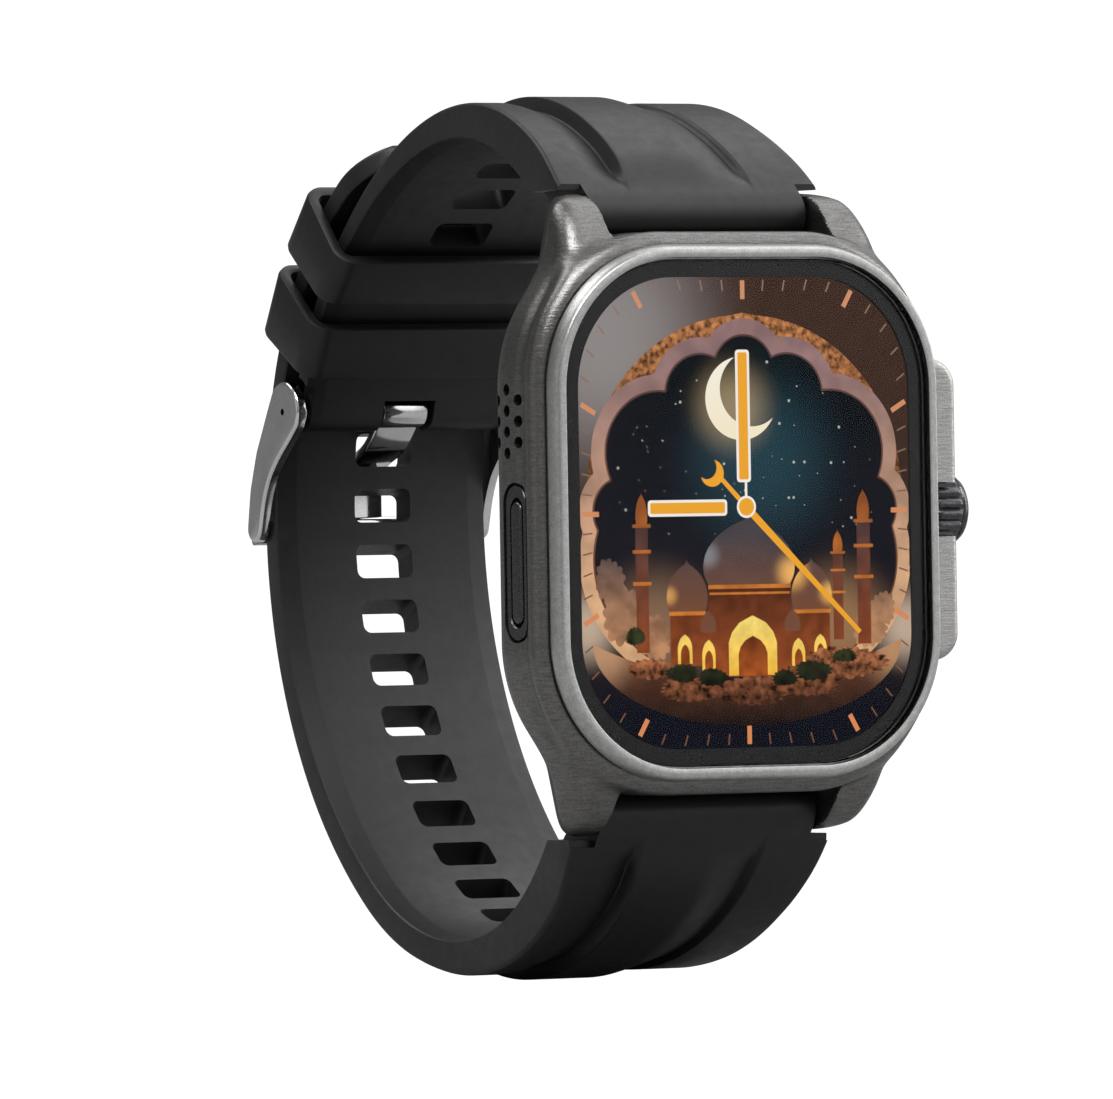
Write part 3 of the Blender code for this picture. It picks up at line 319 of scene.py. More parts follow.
def mesh_of(name, bm):
    """A mesh from a bmesh, with its faces turned outwards."""
    bmesh.ops.recalc_face_normals(bm, faces=bm.faces)
    mesh = bpy.data.meshes.new(name)
    bm.to_mesh(mesh)
    bm.free()
    return mesh


def blank(name, stacks, closed=False):
    """An unfinished object from stacks of equal point loops, capped at their ends unless closed."""
    bm = bmesh.new()
    for loops in stacks:
        rows = [[bm.verts.new(Vector(p) * MM) for p in loop] for loop in loops]
        pairs = list(zip(rows, rows[1:]))
        if closed:
            pairs.append((rows[-1], rows[0]))
        for a, b in pairs:
            for i in range(len(a)):
                j = (i + 1) % len(a)
                bm.faces.new((a[i], a[j], b[j], b[i]))
        if not closed:
            bm.faces.new(rows[0])
            bm.faces.new(rows[-1])
    return place_object(name, mesh_of(name, bm))


def carve(obj, *tools, operation="DIFFERENCE"):
    """Cut tools out of an object, or join them to it, and remove them."""
    for tool in tools:
        modifier = obj.modifiers.new("carve", "BOOLEAN")
        modifier.operation = operation
        modifier.solver = "EXACT"
        modifier.object = tool
        graph = bpy.context.evaluated_depsgraph_get()
        obj.data = bpy.data.meshes.new_from_object(obj.evaluated_get(graph))
        assert obj.data.polygons, f"nothing is left of {obj.name}"
        obj.modifiers.clear()
        bpy.data.objects.remove(tool)
    return obj


def finish_piece(obj, finish, body="watch", replaces=(), sharp=35):
    """Shade an object, give it its finish and let it ride on its CAD body."""
    obj.data.materials.clear()
    obj.data.materials.append(FINISHES[finish])
    obj.data.shade_smooth()
    obj.data.set_sharp_from_angle(angle=math.radians(sharp))
    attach(obj, body)
    if replaces:
        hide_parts(*replaces)
    return obj


def rounded(half_w, half_h, corner, steps=20):
    """Points round a rounded rectangle, `steps` to each corner arc."""
    corner = max(corner, 0.01)
    points = []
    for quarter, (sx, sy) in enumerate(((1, 1), (-1, 1), (-1, -1), (1, -1))):
        for i in range(steps + 1):
            a = math.radians(90 * quarter + 90 * i / steps)
            points.append((sx * (half_w - corner) + corner * math.cos(a),
                           sy * (half_h - corner) + corner * math.sin(a)))
    return points


def front_loops(half_w, half_h, corner, profile, steps=20):
    """Loops facing the front for each (offset, depth) of a profile round a rounded rectangle."""
    return [[(x, y, z) for x, z in rounded(half_w + o, half_h + o, corner + o, steps)] for o, y in profile]


def rod(axis, centre, profile, count=32):
    """Loops round an X or Y axis through `centre` for each (position, radius) of a profile."""
    loops = []
    for position, radius in profile:
        ring = [(radius * math.cos(math.tau * i / count), radius * math.sin(math.tau * i / count))
                for i in range(count)]
        if axis == "X":
            loops.append([(position, centre[0] + a, centre[1] + b) for a, b in ring])
        else:
            loops.append([(centre[0] + a, position, centre[1] + b) for a, b in ring])
    return loops


def bar(axis, centre, low, high, radius, count=32):
    return rod(axis, centre, ((low, radius), (high, radius)), count)


def brick(x, y, z):
    """Two loops of a box from three (low, high) pairs."""
    return [[(x[0], y[0], h), (x[1], y[0], h), (x[1], y[1], h), (x[0], y[1], h)] for h in z]


def between(side, near, far):
    """The (low, high) pair from near to far on the side of the middle plane given by a sign."""
    return sorted((side * near, side * far))


def soften(points, rounds=2, loop=True):
    """Corner cutting of an outline, or of a path whose ends stay."""
    for _ in range(rounds):
        made = [] if loop else [points[0]]
        count = len(points) if loop else len(points) - 1
        for i in range(count):
            a, b = np.array(points[i]), np.array(points[(i + 1) % len(points)])
            made += [tuple(a * 0.75 + b * 0.25), tuple(a * 0.25 + b * 0.75)]
        points = made if loop else made + [points[-1]]
    return points


# ---------------------------------------------------------------- case body as a distance field

def box_distance(x, z, half_w, half_h, corner):
    """Signed distance to a rounded rectangle, negative inside."""
    qx = np.abs(x) - (half_w - corner)
    qz = np.abs(z) - (half_h - corner)
    return np.hypot(np.maximum(qx, 0), np.maximum(qz, 0)) + np.minimum(np.maximum(qx, qz), 0) - corner


def soft_max(a, b, reach):
    h = np.clip(0.5 + 0.5 * (a - b) / reach, 0, 1)
    return b + (a - b) * h + reach * h * (1 - h)


def soft_min(a, b, reach):
    return -soft_max(-a, -b, reach)


def body_field(x, y, z):
    """The case without its lugs: a rounded front edge, a valley along the side, a taper to the back."""
    front = np.clip(CASE_FRONT + FRONT_ROUND - y, 0, FRONT_ROUND)
    inset = FRONT_ROUND - np.sqrt(FRONT_ROUND ** 2 - front ** 2)
    inset = inset + VALLEY_DEEP * np.exp(-((y - VALLEY_Y) / VALLEY_WIDE) ** 2)
    back = np.clip(y - (CASE_BACK - BACK_ROUND), 0, BACK_ROUND)
    inset = inset + BACK_ROUND - np.sqrt(BACK_ROUND ** 2 - back ** 2)
    share = np.clip((y - CASE_WAIST) / (CASE_BACK - CASE_WAIST), 0, 1)
    share = share * share * (2 - share)
    half_w = CASE_HALF_W + (BACK_HALF_W - CASE_HALF_W) * share - inset
    half_h = CASE_HALF_H + (BACK_HALF_H - CASE_HALF_H) * share - inset
    sides = box_distance(x, z, half_w, half_h, CASE_CORNER - inset)
    return np.maximum(sides, np.maximum(CASE_FRONT - y, y - CASE_BACK))


def lug_field(x, y, z):
    """All four lugs: a round front edge in side view, and outer faces that lean in to tip and back."""
    ax, az = np.abs(x), np.abs(z)
    hook = soft_max(np.hypot(y - HOOK_Y, az - HOOK_Z) - HOOK_RADIUS, az - LUG_TIP_Z, 1.4)
    hook = soft_max(hook, y - HOOK_Y, 1.0)
    outer = LUG_TIP_X + (LUG_TIP_Z - np.maximum(az, LUG_ROOT_Z)) * (LUG_ROOT_X - LUG_TIP_X) / (
        LUG_TIP_Z - LUG_ROOT_Z)
    outer = outer - 0.45 * np.maximum(0, y - 7.5)
    return soft_max(hook, ax - outer, 1.8)


def case_field(x, y, z):
    ax, az = np.abs(x), np.abs(z)
    body = body_field(x, y, z)
    blended = soft_min(body, lug_field(x, y, z), 1.6)
    field = np.minimum(body, np.maximum(blended, LUG_INNER - ax))
    relief = np.maximum(np.hypot(y - BAR_Y, az - BAR_Z) - BARREL_RADIUS - GAP, ax - LUG_INNER)
    field = np.maximum(field, -relief)
    middle, reach = (GUARD_OUTER + GUARD_INNER) / 2, (GUARD_OUTER - GUARD_INNER) / 2
    guard = box_distance(x - middle, z, reach, GUARD_HALF, 2.4)
    guard = soft_max(guard, np.abs(y - (GUARD_FRONT + GUARD_BACK) / 2) - (GUARD_BACK - GUARD_FRONT) / 2, 0.7)
    field = soft_min(field, guard, 0.3)
    cavity = np.maximum(box_distance(x, z, CAVITY_HALF_W, CAVITY_HALF_H, CAVITY_CORNER), y - FLANGE_FRONT)
    field = np.maximum(field, -cavity)
    boss = np.maximum(np.hypot(ax - SCREW_X, az - SCREW_Z) - 1.6, np.maximum(9.0 - y, y - FLANGE_BACK + 0.2))
    field = np.minimum(field, boss)
    seat = box_distance(x, z, COVER_HALF_W + GAP, COVER_HALF_H + GAP, COVER_CORNER + GAP)
    seat = np.maximum(seat, FLANGE_BACK - y)
    opening = np.maximum(box_distance(x, z, 12.6, 16.5, 6.0), 8.0 - y)
    return np.maximum(field, -np.minimum(seat, opening))


def surface_net(name, field, low, high, step):
    """A mesh on the zero surface of a field, one vertex to each grid cell that the surface crosses."""
    axes = [np.arange(a, b + step / 2, step) for a, b in zip(low, high)]
    values = field(*np.meshgrid(*axes, indexing="ij"))
    cells = np.array(values.shape) - 1
    total, count = np.zeros((*cells, 3)), np.zeros(cells)
    crossings = []
    for axis in range(3):
        first = np.take(values, range(cells[axis]), axis)
        second = np.take(values, range(1, cells[axis] + 1), axis)
        crossed = (first < 0) != (second < 0)
        crossings.append((crossed, first < 0))
        share = np.where(crossed, first / np.where(crossed, first - second, 1), 0)
        place = np.indices(first.shape).astype(float)
        place[axis] += share
        others = [o for o in range(3) if o != axis]
        for di in (0, 1):
            for dj in (0, 1):
                pick = [slice(None)] * 3
                pick[others[0]] = slice(di, di + cells[others[0]])
                pick[others[1]] = slice(dj, dj + cells[others[1]])
                here = crossed[tuple(pick)]
                count += here
                for k in range(3):
                    total[..., k] += np.where(here, place[k][tuple(pick)], 0)
    active = count > 0
    number = np.full(cells, -1)
    number[active] = np.arange(active.sum())
    points = total[active] / count[active][:, None] * step + np.array(low)
    points = settle(points, field)
    quads = []
    for axis, (crossed, inside) in enumerate(crossings):
        others = [o for o in range(3) if o != axis]
        where = np.argwhere(crossed)
        keep = (where[:, others[0]] > 0) & (where[:, others[1]] > 0)
        keep &= (where[:, others[0]] < cells[others[0]]) & (where[:, others[1]] < cells[others[1]])
        where = where[keep]
        corners = []
        for di, dj in ((1, 1), (0, 1), (0, 0), (1, 0)):
            cell = where.copy()
            cell[:, others[0]] -= di
            cell[:, others[1]] -= dj
            corners.append(number[tuple(cell.T)])
        quad = np.stack(corners, 1)
        turn = inside[tuple(where.T)] ^ (axis == 1)
        quad[~turn] = quad[~turn][:, ::-1]
        quads.append(quad)
    mesh = bpy.data.meshes.new(name)
    mesh.from_pydata((points * MM).tolist(), [], np.concatenate(quads).tolist())
    mesh.validate()
    return place_object(name, mesh)


def settle(points, field, rounds=2, nudge=0.02):
    """Move points along the field's gradient onto its zero surface."""
    for _ in range(rounds):
        value = field(*points.T)
        slope = np.zeros_like(points)
        for axis in range(3):
            ahead, behind = points.copy(), points.copy()
            ahead[:, axis] += nudge
            behind[:, axis] -= nudge
            slope[:, axis] = (field(*ahead.T) - field(*behind.T)) / (2 * nudge)
        size = np.maximum((slope ** 2).sum(1), 0.25)
        points = points - np.clip(value / size, -0.2, 0.2)[:, None] * slope
    return points


def pill_ring(length, width, x):
    """A loop with round ends along Z about the button's middle."""
    outline = rounded(width / 2, length / 2, width / 2 - 0.001, 16)
    return [(x, BUTTON_Y + y, BUTTON_Z + z) for y, z in outline]


def mid_case():
    low, high = (-23.0 + CELL / 2, 1.4, -28.2), (23.2, 12.5, 28.2)
    case = surface_net("mid_case_shell", case_field, low, high, CELL)
    face = -CASE_HALF_W
    first = [[pill_ring(BEZEL_LONG + 0.4, BEZEL_WIDE + 0.4, x) for x in (face - 1, face + 0.9)]]
    for depth, count in SPEAKER_COLUMNS:
        for i in range(count):
            height = SPEAKER_Z + (i - (count - 1) / 2) * SPEAKER_PITCH
            first.append(bar("X", (depth, height), face - 1, face + 3, 0.5, 24))
    first.append(bar("X", (CROWN_Y, 0), CASE_HALF_W + 0.3, 25, CROWN_RADIUS + 0.5, 64))
    for sx in (1, -1):
        for sz in (1, -1):
            ends = between(sx, LUG_INNER - 1, LUG_INNER + 1.6)
            first.append(bar("X", (BAR_Y, sz * BAR_Z), *ends, 0.7, 24))
            first.append(bar("Y", (sx * SCREW_X, sz * SCREW_Z), 8.5, 13, 0.8, 24))
    second = [[pill_ring(BUTTON_LONG + 0.6, BUTTON_WIDE + 0.6, x) for x in (face, face + 1.2)],
              brick((CASE_HALF_W + 0.3, 25), (0, CROWN_Y), (-2.35, 2.35))]
    third = [bar("X", (BUTTON_Y, BUTTON_Z), face, face + 4, 0.85, 24),
             bar("X", (CROWN_Y, 0), 15, 25, 2.1, 40)]
    carve(case, blank("tool", first), blank("tool", second), blank("tool", third))
    finish_piece(case, "gunmetal", replaces=["mid_case"], sharp=40)
    paint_guard_highlight(case)


def paint_guard_highlight(case):
    """The crown guard gets a lighter copy of the case metal, a painted highlight for the light its grained
    front face catches.
    """
    case.data.materials.append(FINISHES["guard_lit_metal"])
    limit = (CASE_HALF_W + 0.25) * MM
    for polygon in case.data.polygons:
        if polygon.center.x > limit and abs(polygon.center.z) < 13.2 * MM:
            polygon.material_index = 1


# ---------------------------------------------------------------- front

def front_ring():
    profile = ((0.15, 0.85), (0.15, 0.10), (0.17, 0.03), (0.24, 0.0), (0.84, 0.0), (0.90, 0.03), (1.00, 0.16),
               (1.12, 0.42), (1.22, 0.80), (1.29, 1.20), (1.30, 1.42), (1.26, 1.53), (1.15, RING_BACK),
               (-0.35, RING_BACK), (-0.30, 1.65), (-0.30, SPIGOT_BACK - 0.1), (-0.40, SPIGOT_BACK),
               (-0.85, SPIGOT_BACK), (-0.90, SPIGOT_BACK - 0.1), (-0.90, 1.15), (0.15, 1.15))
    ring = blank("ring_polished", [front_loops(GLASS_HALF_W, GLASS_HALF_H, GLASS_CORNER, profile, 32)], True)
    finish_piece(ring, "ring_metal", replaces=["front_ring"])


def cover_glass():
    edge = [(-0.22 + 0.22 * math.sin(math.radians(a)), 0.22 - 0.22 * math.cos(math.radians(a)))
            for a in (0, 15, 30, 45, 60, 75, 90)]
    profile = edge + [(0.0, GLASS_BACK - 0.08), (-0.08, GLASS_BACK)]
    glass = blank("glass_pane", [front_loops(GLASS_HALF_W, GLASS_HALF_H, GLASS_CORNER, profile, 32)])
    finish_piece(glass, "glass", replaces=["cover_glass"])
    inner = LIT_HALF_W - GLASS_HALF_W
    border = ((-0.1, 0.815), (-0.1, 0.86), (inner, 0.86), (inner, 0.815))
    loops = front_loops(GLASS_HALF_W, GLASS_HALF_H, GLASS_CORNER, border, 32)
    finish_piece(blank("glass_border_print", [loops], True), "print")


# ---------------------------------------------------------------- dial picture

ROUNDS = ((0, 12.1, 2.9), (4.3, 10.0, 3.43), (-4.3, 10.0, 3.43), (8.5, 5.1, 5.2), (-8.5, 5.1, 5.2),
          (12.2, 0.2, 2.8), (-12.2, 0.2, 2.8))
BOWL_Z, BOWL_HALF_W, BOWL_HALF_H = -4.0, 15.0, 10.7


def layer(level, outline):
    """Loops of a thin sheet of the dial picture; higher levels lie nearer the glass."""
    back = LAYER_BACK - level * LAYER_STEP
    return [[(x, y, z) for x, z in outline] for y in (back, back - LAYER_THICK)]


def sheet(name, finish, stacks):
    """One dial piece from sheets of the same lit colour."""
    obj = blank(name, stacks)
    obj.data.materials.append(finish)
    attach(obj, "watch")
    return obj


def disc(x, z, radius, count=40):
    return [(x + radius * math.cos(math.tau * i / count), z + radius * math.sin(math.tau * i / count))
            for i in range(count)]


def reach_of(x, z, rx, rz, a):
    """Distance from the dial's centre to the far side of an ellipse along angle `a`, or 0."""
    dx, dz = math.cos(a) / rx, math.sin(a) / rz
    ox, oz = x / rx, z / rz
    half = dx * ox + dz * oz
    rest = half ** 2 - (dx * dx + dz * dz) * (ox * ox + oz * oz - 1)
    return max(0.0, (half + math.sqrt(rest)) / (dx * dx + dz * dz)) if rest > 0 else 0.0


def scalloped(grow, count=720):
    """Outline of the arch opening: a bowl joined with round lobes, all grown by `grow`."""
    outline = []
    for i in range(count):
        a = math.tau * i / count
        reach = reach_of(0, BOWL_Z, BOWL_HALF_W + grow, BOWL_HALF_H + grow, a)
        for x, z, radius in ROUNDS:
            reach = max(reach, reach_of(x, z, radius + grow, radius + grow, a))
        outline.append((reach * math.cos(a), reach * math.sin(a)))
    return clip_to_display(outline)


def clip_to_display(outline):
    """Points pulled in to the lit area's edge."""
    inside = []
    for x, z in outline:
        scale = 1.0
        while box_distance(x * scale, z * scale, LIT_HALF_W - 0.05, LIT_HALF_H - 0.05, LIT_CORNER) > 0:
            scale -= 0.004
        inside.append((x * scale, z * scale))
    return inside


def crescent(x, z, radius, bite_x, bite_z, bite, count=60):
    """A disc less a second disc, as one outline between the two points where they cross."""
    apart = math.hypot(bite_x, bite_z)
    facing = math.atan2(bite_z, bite_x)
    along = (radius ** 2 - bite ** 2 + apart ** 2) / (2 * apart)
    across = math.sqrt(radius ** 2 - along ** 2)
    outer = math.atan2(across, along)
    inner = math.atan2(across, along - apart)
    points = []
    for i in range(count + 1):
        a = facing + outer + (math.tau - 2 * outer) * i / count
        points.append((x + radius * math.cos(a), z + radius * math.sin(a)))
    for i in range(1, count):
        a = facing - inner - (math.tau - 2 * inner) * i / count
        points.append((x + bite_x + bite * math.cos(a), z + bite_z + bite * math.sin(a)))
    return points


def onion(x, base, half, height):
    """A pointed dome: full at a third of its height, drawn in to a fine tip."""
    side = ((0.86, 0.0), (0.97, 0.14), (1.0, 0.3), (0.93, 0.5), (0.74, 0.68), (0.48, 0.82), (0.22, 0.91),
            (0.07, 0.94), (0.0, 1.04))
    right = soften([(x + half * u, base + height * v) for u, v in side], 2, loop=False)
    return right + [(2 * x - px, pz) for px, pz in reversed(right[:-1])]


def arch(x, base, half, height):
    """A doorway with a pointed top."""
    side = ((1.0, 0.0), (1.0, 0.55), (0.86, 0.72), (0.55, 0.88), (0.0, 1.0))
    right = [(x + half * u, base + height * v) for u, v in side]
    return right + [(2 * x - px, pz) for px, pz in reversed(right[:-1])]


def block(x0, x1, z0, z1):
    return [(x0, z0), (x1, z0), (x1, z1), (x0, z1)]


def tick_marks():
    """Marks pointing at the dial's centre, long and wide at every fifth, just inside the lit edge."""
    major, minor = [], []
    for i in range(60):
        a = math.tau * i / 60
        ux, uz = math.sin(a), math.cos(a)
        reach = 0.0
        while box_distance(ux * reach, uz * reach, LIT_HALF_W - 0.3, LIT_HALF_H - 0.3, LIT_CORNER - 0.3) < 0:
            reach += 0.05
        long, half = (1.6, 0.22) if i % 5 == 0 else (0.95, 0.07)
        tick = []
        for r, s in ((reach, half), (reach, -half), (reach - long, -half), (reach - long, half)):
            tick.append((ux * r + uz * s, uz * r - ux * s))
        (major if i % 5 == 0 else minor).append(layer(5, tick))
    return major, minor


def puff(x, z, half_w, half_h, bumps, seed, count=120):
    """A rounded clump with a bumpy outline, for clouds, rocks and bushes."""
    source = random.Random(seed)
    phase = source.uniform(0, math.pi)
    outline = []
    for i in range(count):
        a = math.tau * i / count
        swell = 0.82 + 0.18 * abs(math.sin(a * bumps / 2 + phase)) + 0.06 * math.sin(3 * a + 2 * phase)
        outline.append((x + half_w * swell * math.cos(a), z + half_h * swell * math.sin(a)))
    return clip_to_display(outline)


def clumps(level, spots, bumps, seed):
    return [layer(level, puff(x, z, w, h, bumps, seed + i)) for i, (x, z, w, h) in enumerate(spots)]


def tower(x, base, top, half):
    """A slim tower: shaft, two balconies and a pointed cap."""
    rise = top - base
    shapes = [block(x - half, x + half, base, base + rise * 0.78)]
    shapes += [block(x - half * 1.45, x + half * 1.45, base + rise * h, base + rise * (h + 0.022))
               for h in (0.42, 0.62, 0.78)]
    shapes.append(onion(x, base + rise * 0.80, half * 0.95, rise * 0.19))
    return shapes


def dial():
    arch_and_field()
    night_sky()
    building()
    ground()
    major, minor = tick_marks()
    orange = screen_finish("dial_orange", (226, 142, 88), (214, 150, 110), -20, 20)
    sheet("dial_hour_ticks", orange, major)
    sheet("dial_minute_ticks", screen_finish("dial_dim", (120, 82, 58), (150, 122, 104), -20, 20), minor)
    dial_hands()


def arch_and_field():
    """The dark field, and the carved arch with its cream and brown linings."""
    warm = (0.55, 0.42, 0.30)
    glows = (((-14, 15), 17, (0.24, 0.24, 0.24)), ((-16, -9.5), 5, warm), ((16, -10), 5, warm))
    field = glowing("dial_field", (14, 16, 26), (64, 44, 34), -17, 8, glows, 0.06)
    sheet("dial_field", field, [layer(0, rounded(LIT_HALF_W, LIT_HALF_H, LIT_CORNER, 24))])
    carved = screen_finish("dial_carving", (84, 50, 30), (168, 110, 66), -2, 16, 0.75, 1900)
    lobe = [(0.3 + 15.4 * math.cos(math.radians(a)), 1.5 + 15.3 * math.sin(math.radians(a)))
            for a in range(-10, 89, 3)]
    outline = lobe + [(0, 17.0)] + [(-x, z) for x, z in reversed(lobe)]
    sheet("dial_carving", carved, [layer(1, clip_to_display(outline))])
    cream = screen_finish("dial_arch", (226, 178, 132), (150, 118, 116), -10, 12, 0.18, 400)
    sheet("dial_arch", cream, [layer(2, scalloped(1.5))])
    lining = screen_finish("dial_arch_lining", (120, 76, 48), (92, 66, 62), -10, 12, 0.1)
    sheet("dial_arch_lining", lining, [layer(3, scalloped(0.18))])


def night_sky():
    """The sky inside the arch, with stars, a crescent moon and low clouds."""
    glows = (((1.5, 4.5), 11, (0.01, 0.045, 0.06)), ((-1.2, 9.0), 5.6, (0.30, 0.21, 0.10)),
             ((-9, -10), 8, (0.25, 0.14, 0.07)), ((9, -10), 8, (0.32, 0.17, 0.07)))
    sky = glowing("dial_sky", (26, 24, 34), (8, 14, 18), -12, 12, glows)
    sheet("dial_sky", sky, [layer(4, scalloped(0.0))])
    source = random.Random(11)
    stars = []
    while len(stars) < 70:
        x, z = source.uniform(-13, 13), source.uniform(-2, 14)
        if math.hypot(x / 13, (z - 1) / 12.5) < 1 and math.hypot(x + 0.3, z - 9.7) > 4:
            stars.append(layer(5, disc(x, z, source.choice((0.05, 0.06, 0.08, 0.13)), 8)))
    sheet("dial_stars", screen_finish("dial_star", (170, 176, 170), (205, 200, 180), -2, 14), stars)
    moon = screen_finish("dial_moon", (255, 240, 205), (255, 250, 228), 6, 12)
    sheet("dial_moon", moon, [layer(5, crescent(-0.3, 9.7, 3.55, 1.1, 0.8, 3.2))])
    cloud = screen_finish("dial_clouds", (176, 128, 92), (96, 78, 72), -10, -4, 0.35, 500)
    spots = ((-13.6, -5.6, 1.5, 1.9), (-12.2, -8.6, 2.3, 2.6), (-9.2, -10.6, 1.6, 2.0),
             (13.6, -8.4, 1.3, 1.5), (12.2, -10.2, 1.8, 1.6))
    sheet("dial_clouds", cloud, clumps(5, spots, 13, 3))


def building():
    """A domed hall between slim towers, with lit doors and windows."""
    stone = screen_finish("dial_stone", (140, 70, 34), (74, 58, 56), -12, 0, 0.22, 800)
    towers = [tower(-10.4, -11.8, 1.8, 0.62), tower(11.7, -11.4, 1.9, 0.66), tower(9.1, -11.0, -1.6, 0.5)]
    sheet("dial_towers", stone, [layer(6, shapes[0]) for shapes in towers])
    trim = screen_finish("dial_trim", (220, 132, 52), (150, 84, 40), -10, 1, 0.2, 900)
    sheet("dial_tower_trim", trim, [layer(7, shape) for shapes in towers for shape in shapes[1:]])
    wall = screen_finish("dial_wall", (150, 74, 34), (78, 40, 24), -13, -6, 0.25, 900)
    walls = ((-3.9, 4.3, -14.0, -6.2), (-7.7, -3.9, -13.0, -8.4), (4.3, 8.2, -13.0, -8.4))
    sheet("dial_walls", wall, [layer(7, block(*edges)) for edges in walls])
    glows = (((-3.9, -3.6), 1.8, (0.14, 0.17, 0.19)), ((4.5, -5.2), 2.4, (0.8, 0.42, 0.08)),
             ((-7.8, -7.0), 1.3, (0.5, 0.26, 0.06)), ((8.2, -7.0), 1.6, (0.7, 0.38, 0.08)))
    dome = glowing("dial_dome", (120, 78, 56), (74, 68, 72), -8, -2, glows, 0.06)
    domes = ((8, 0.2, -6.3, 4.6, 6.0), (8, -6.0, -8.4, 2.05, 4.3), (8, 6.4, -8.4, 2.05, 4.3),
             (9, -3.95, -10.2, 0.8, 1.9), (9, 4.45, -10.2, 0.8, 1.9))
    sheet("dial_domes", dome, [layer(level, onion(*place)) for level, *place in domes])
    ledges = ((9, -3.9, 4.3, -6.5, -6.15), (9, -3.8, 4.2, -7.0, -6.8), (8, -7.8, -4.2, -8.7, -8.35),
              (8, 4.6, 8.3, -8.7, -8.35))
    sheet("dial_cornice", trim, [layer(level, block(*edges)) for level, *edges in ledges])
    lamp = screen_finish("dial_lamplight", (255, 196, 66), (255, 226, 120), -14, -9, 0.12, 900)
    doors = ((8, 0.45, -13.9, 2.4, 5.1), (9, -6.3, -12.8, 0.72, 2.5), (9, -3.95, -13.4, 0.66, 2.6),
             (9, 5.0, -13.4, 0.66, 2.6), (9, 7.2, -12.8, 0.62, 2.3))
    sheet("dial_windows", lamp, [layer(level, arch(*door)) for level, *door in doors])
    inner = screen_finish("dial_doors", (170, 84, 30), (96, 44, 22), -14, -10, 0.3, 900)
    sheet("dial_doors", inner, [layer(level + 1, arch(x, z, half * 0.6, height * 0.66))
                                for level, x, z, half, height in doors])


def ground():
    """The ledge under the building, with rocks and bushes along it."""
    rock = screen_finish("dial_rocks", (44, 24, 16), (150, 92, 58), -17.5, -12, 0.9, 1300)
    bush = screen_finish("dial_bushes", (14, 18, 12), (46, 50, 26), -15, -12, 0.7, 1500)
    turns = [math.radians(a) for a in range(0, 181, 5)]
    ledge = [(15.4 * math.cos(a), -11.0 - 3.4 * math.sin(a) ** 2) for a in turns]
    ledge += [(-15.4 * math.cos(a), -11.0 - 7.2 * math.sin(a)) for a in turns[1:-1]]
    glows = (((-14.5, -11.5), 5, (0.42, 0.26, 0.14)), ((14.5, -11.5), 5, (0.42, 0.24, 0.12)))
    base = glowing("dial_ledge", (30, 20, 18), (96, 58, 38), -18, -12, glows, 0.2)
    sheet("dial_ledge", base, [layer(9, clip_to_display(ledge))])
    rocks = ((9.6, -13.0, 4.4, 1.5), (5.6, -14.4, 3.6, 1.5), (0.2, -15.2, 4.0, 1.3), (-5.4, -14.9, 3.6, 1.2),
             (-9.6, -13.2, 2.6, 0.9))
    sheet("dial_rocks", rock, clumps(11, rocks, 21, 4))
    bushes = ((-6.6, -13.6, 1.7, 0.8), (-3.6, -14.0, 1.5, 0.8), (6.4, -13.6, 1.9, 0.9),
              (3.6, -14.2, 1.3, 0.7), (9.6, -12.4, 1.3, 0.6), (-11.2, -10.4, 1.0, 0.8))
    sheet("dial_bushes", bush, clumps(12, bushes, 15, 6))


def turned_bar(x0, z0, x1, z1, half0, half1):
    """A straight bar between two points with its own half width at each end."""
    length = math.hypot(x1 - x0, z1 - z0)
    nx, nz = -(z1 - z0) / length, (x1 - x0) / length
    return [(x0 + nx * half0, z0 + nz * half0), (x0 - nx * half0, z0 - nz * half0),
            (x1 - nx * half1, z1 - nz * half1), (x1 + nx * half1, z1 + nz * half1)]


def moved(outline, x, z):
    return [(px + x, pz + z) for px, pz in outline]


def dial_hands():
    white = screen_finish("dial_white", (252, 246, 236), (252, 246, 236), -1, 1)
    orange = screen_finish("dial_hand", (247, 173, 48), (247, 173, 48), -1, 1)
    hub_z = 0.45
    minute = (-0.2, 8.2, 0.7, 5.65)
    hour = (-5.85, 0.42, 3.93, 0.7)
    sheet("dial_second_hand", orange,
          [layer(12, turned_bar(0, hub_z, 11.2, -10.4, 0.34, 0.2)),
           layer(12, turned_bar(0, hub_z, -2.5, 2.95, 0.22, 0.2)),
           layer(13, crescent(-3.35, 3.35, 1.15, -0.55, 0.5, 1.0, 24))])
    outlines = [layer(13, moved(rounded(w, h, 0.32, 6), x, z)) for x, z, w, h in (minute, hour)]
    outlines += [layer(13, disc(0, hub_z, 0.95)), layer(12, block(-0.12, 0.12, hub_z + 0.5, 2.7))]
    sheet("dial_hand_outlines", white, outlines)
    fills = [layer(14, moved(rounded(w - 0.24, h - 0.24, 0.14, 4), x, z)) for x, z, w, h in (minute, hour)]
    sheet("dial_hands", orange, fills + [layer(14, disc(0, hub_z, 0.74))])


# ---------------------------------------------------------------- back

def screw_places():
    return [(sx * SCREW_X, sz * SCREW_Z) for sx in (1, -1) for sz in (1, -1)]


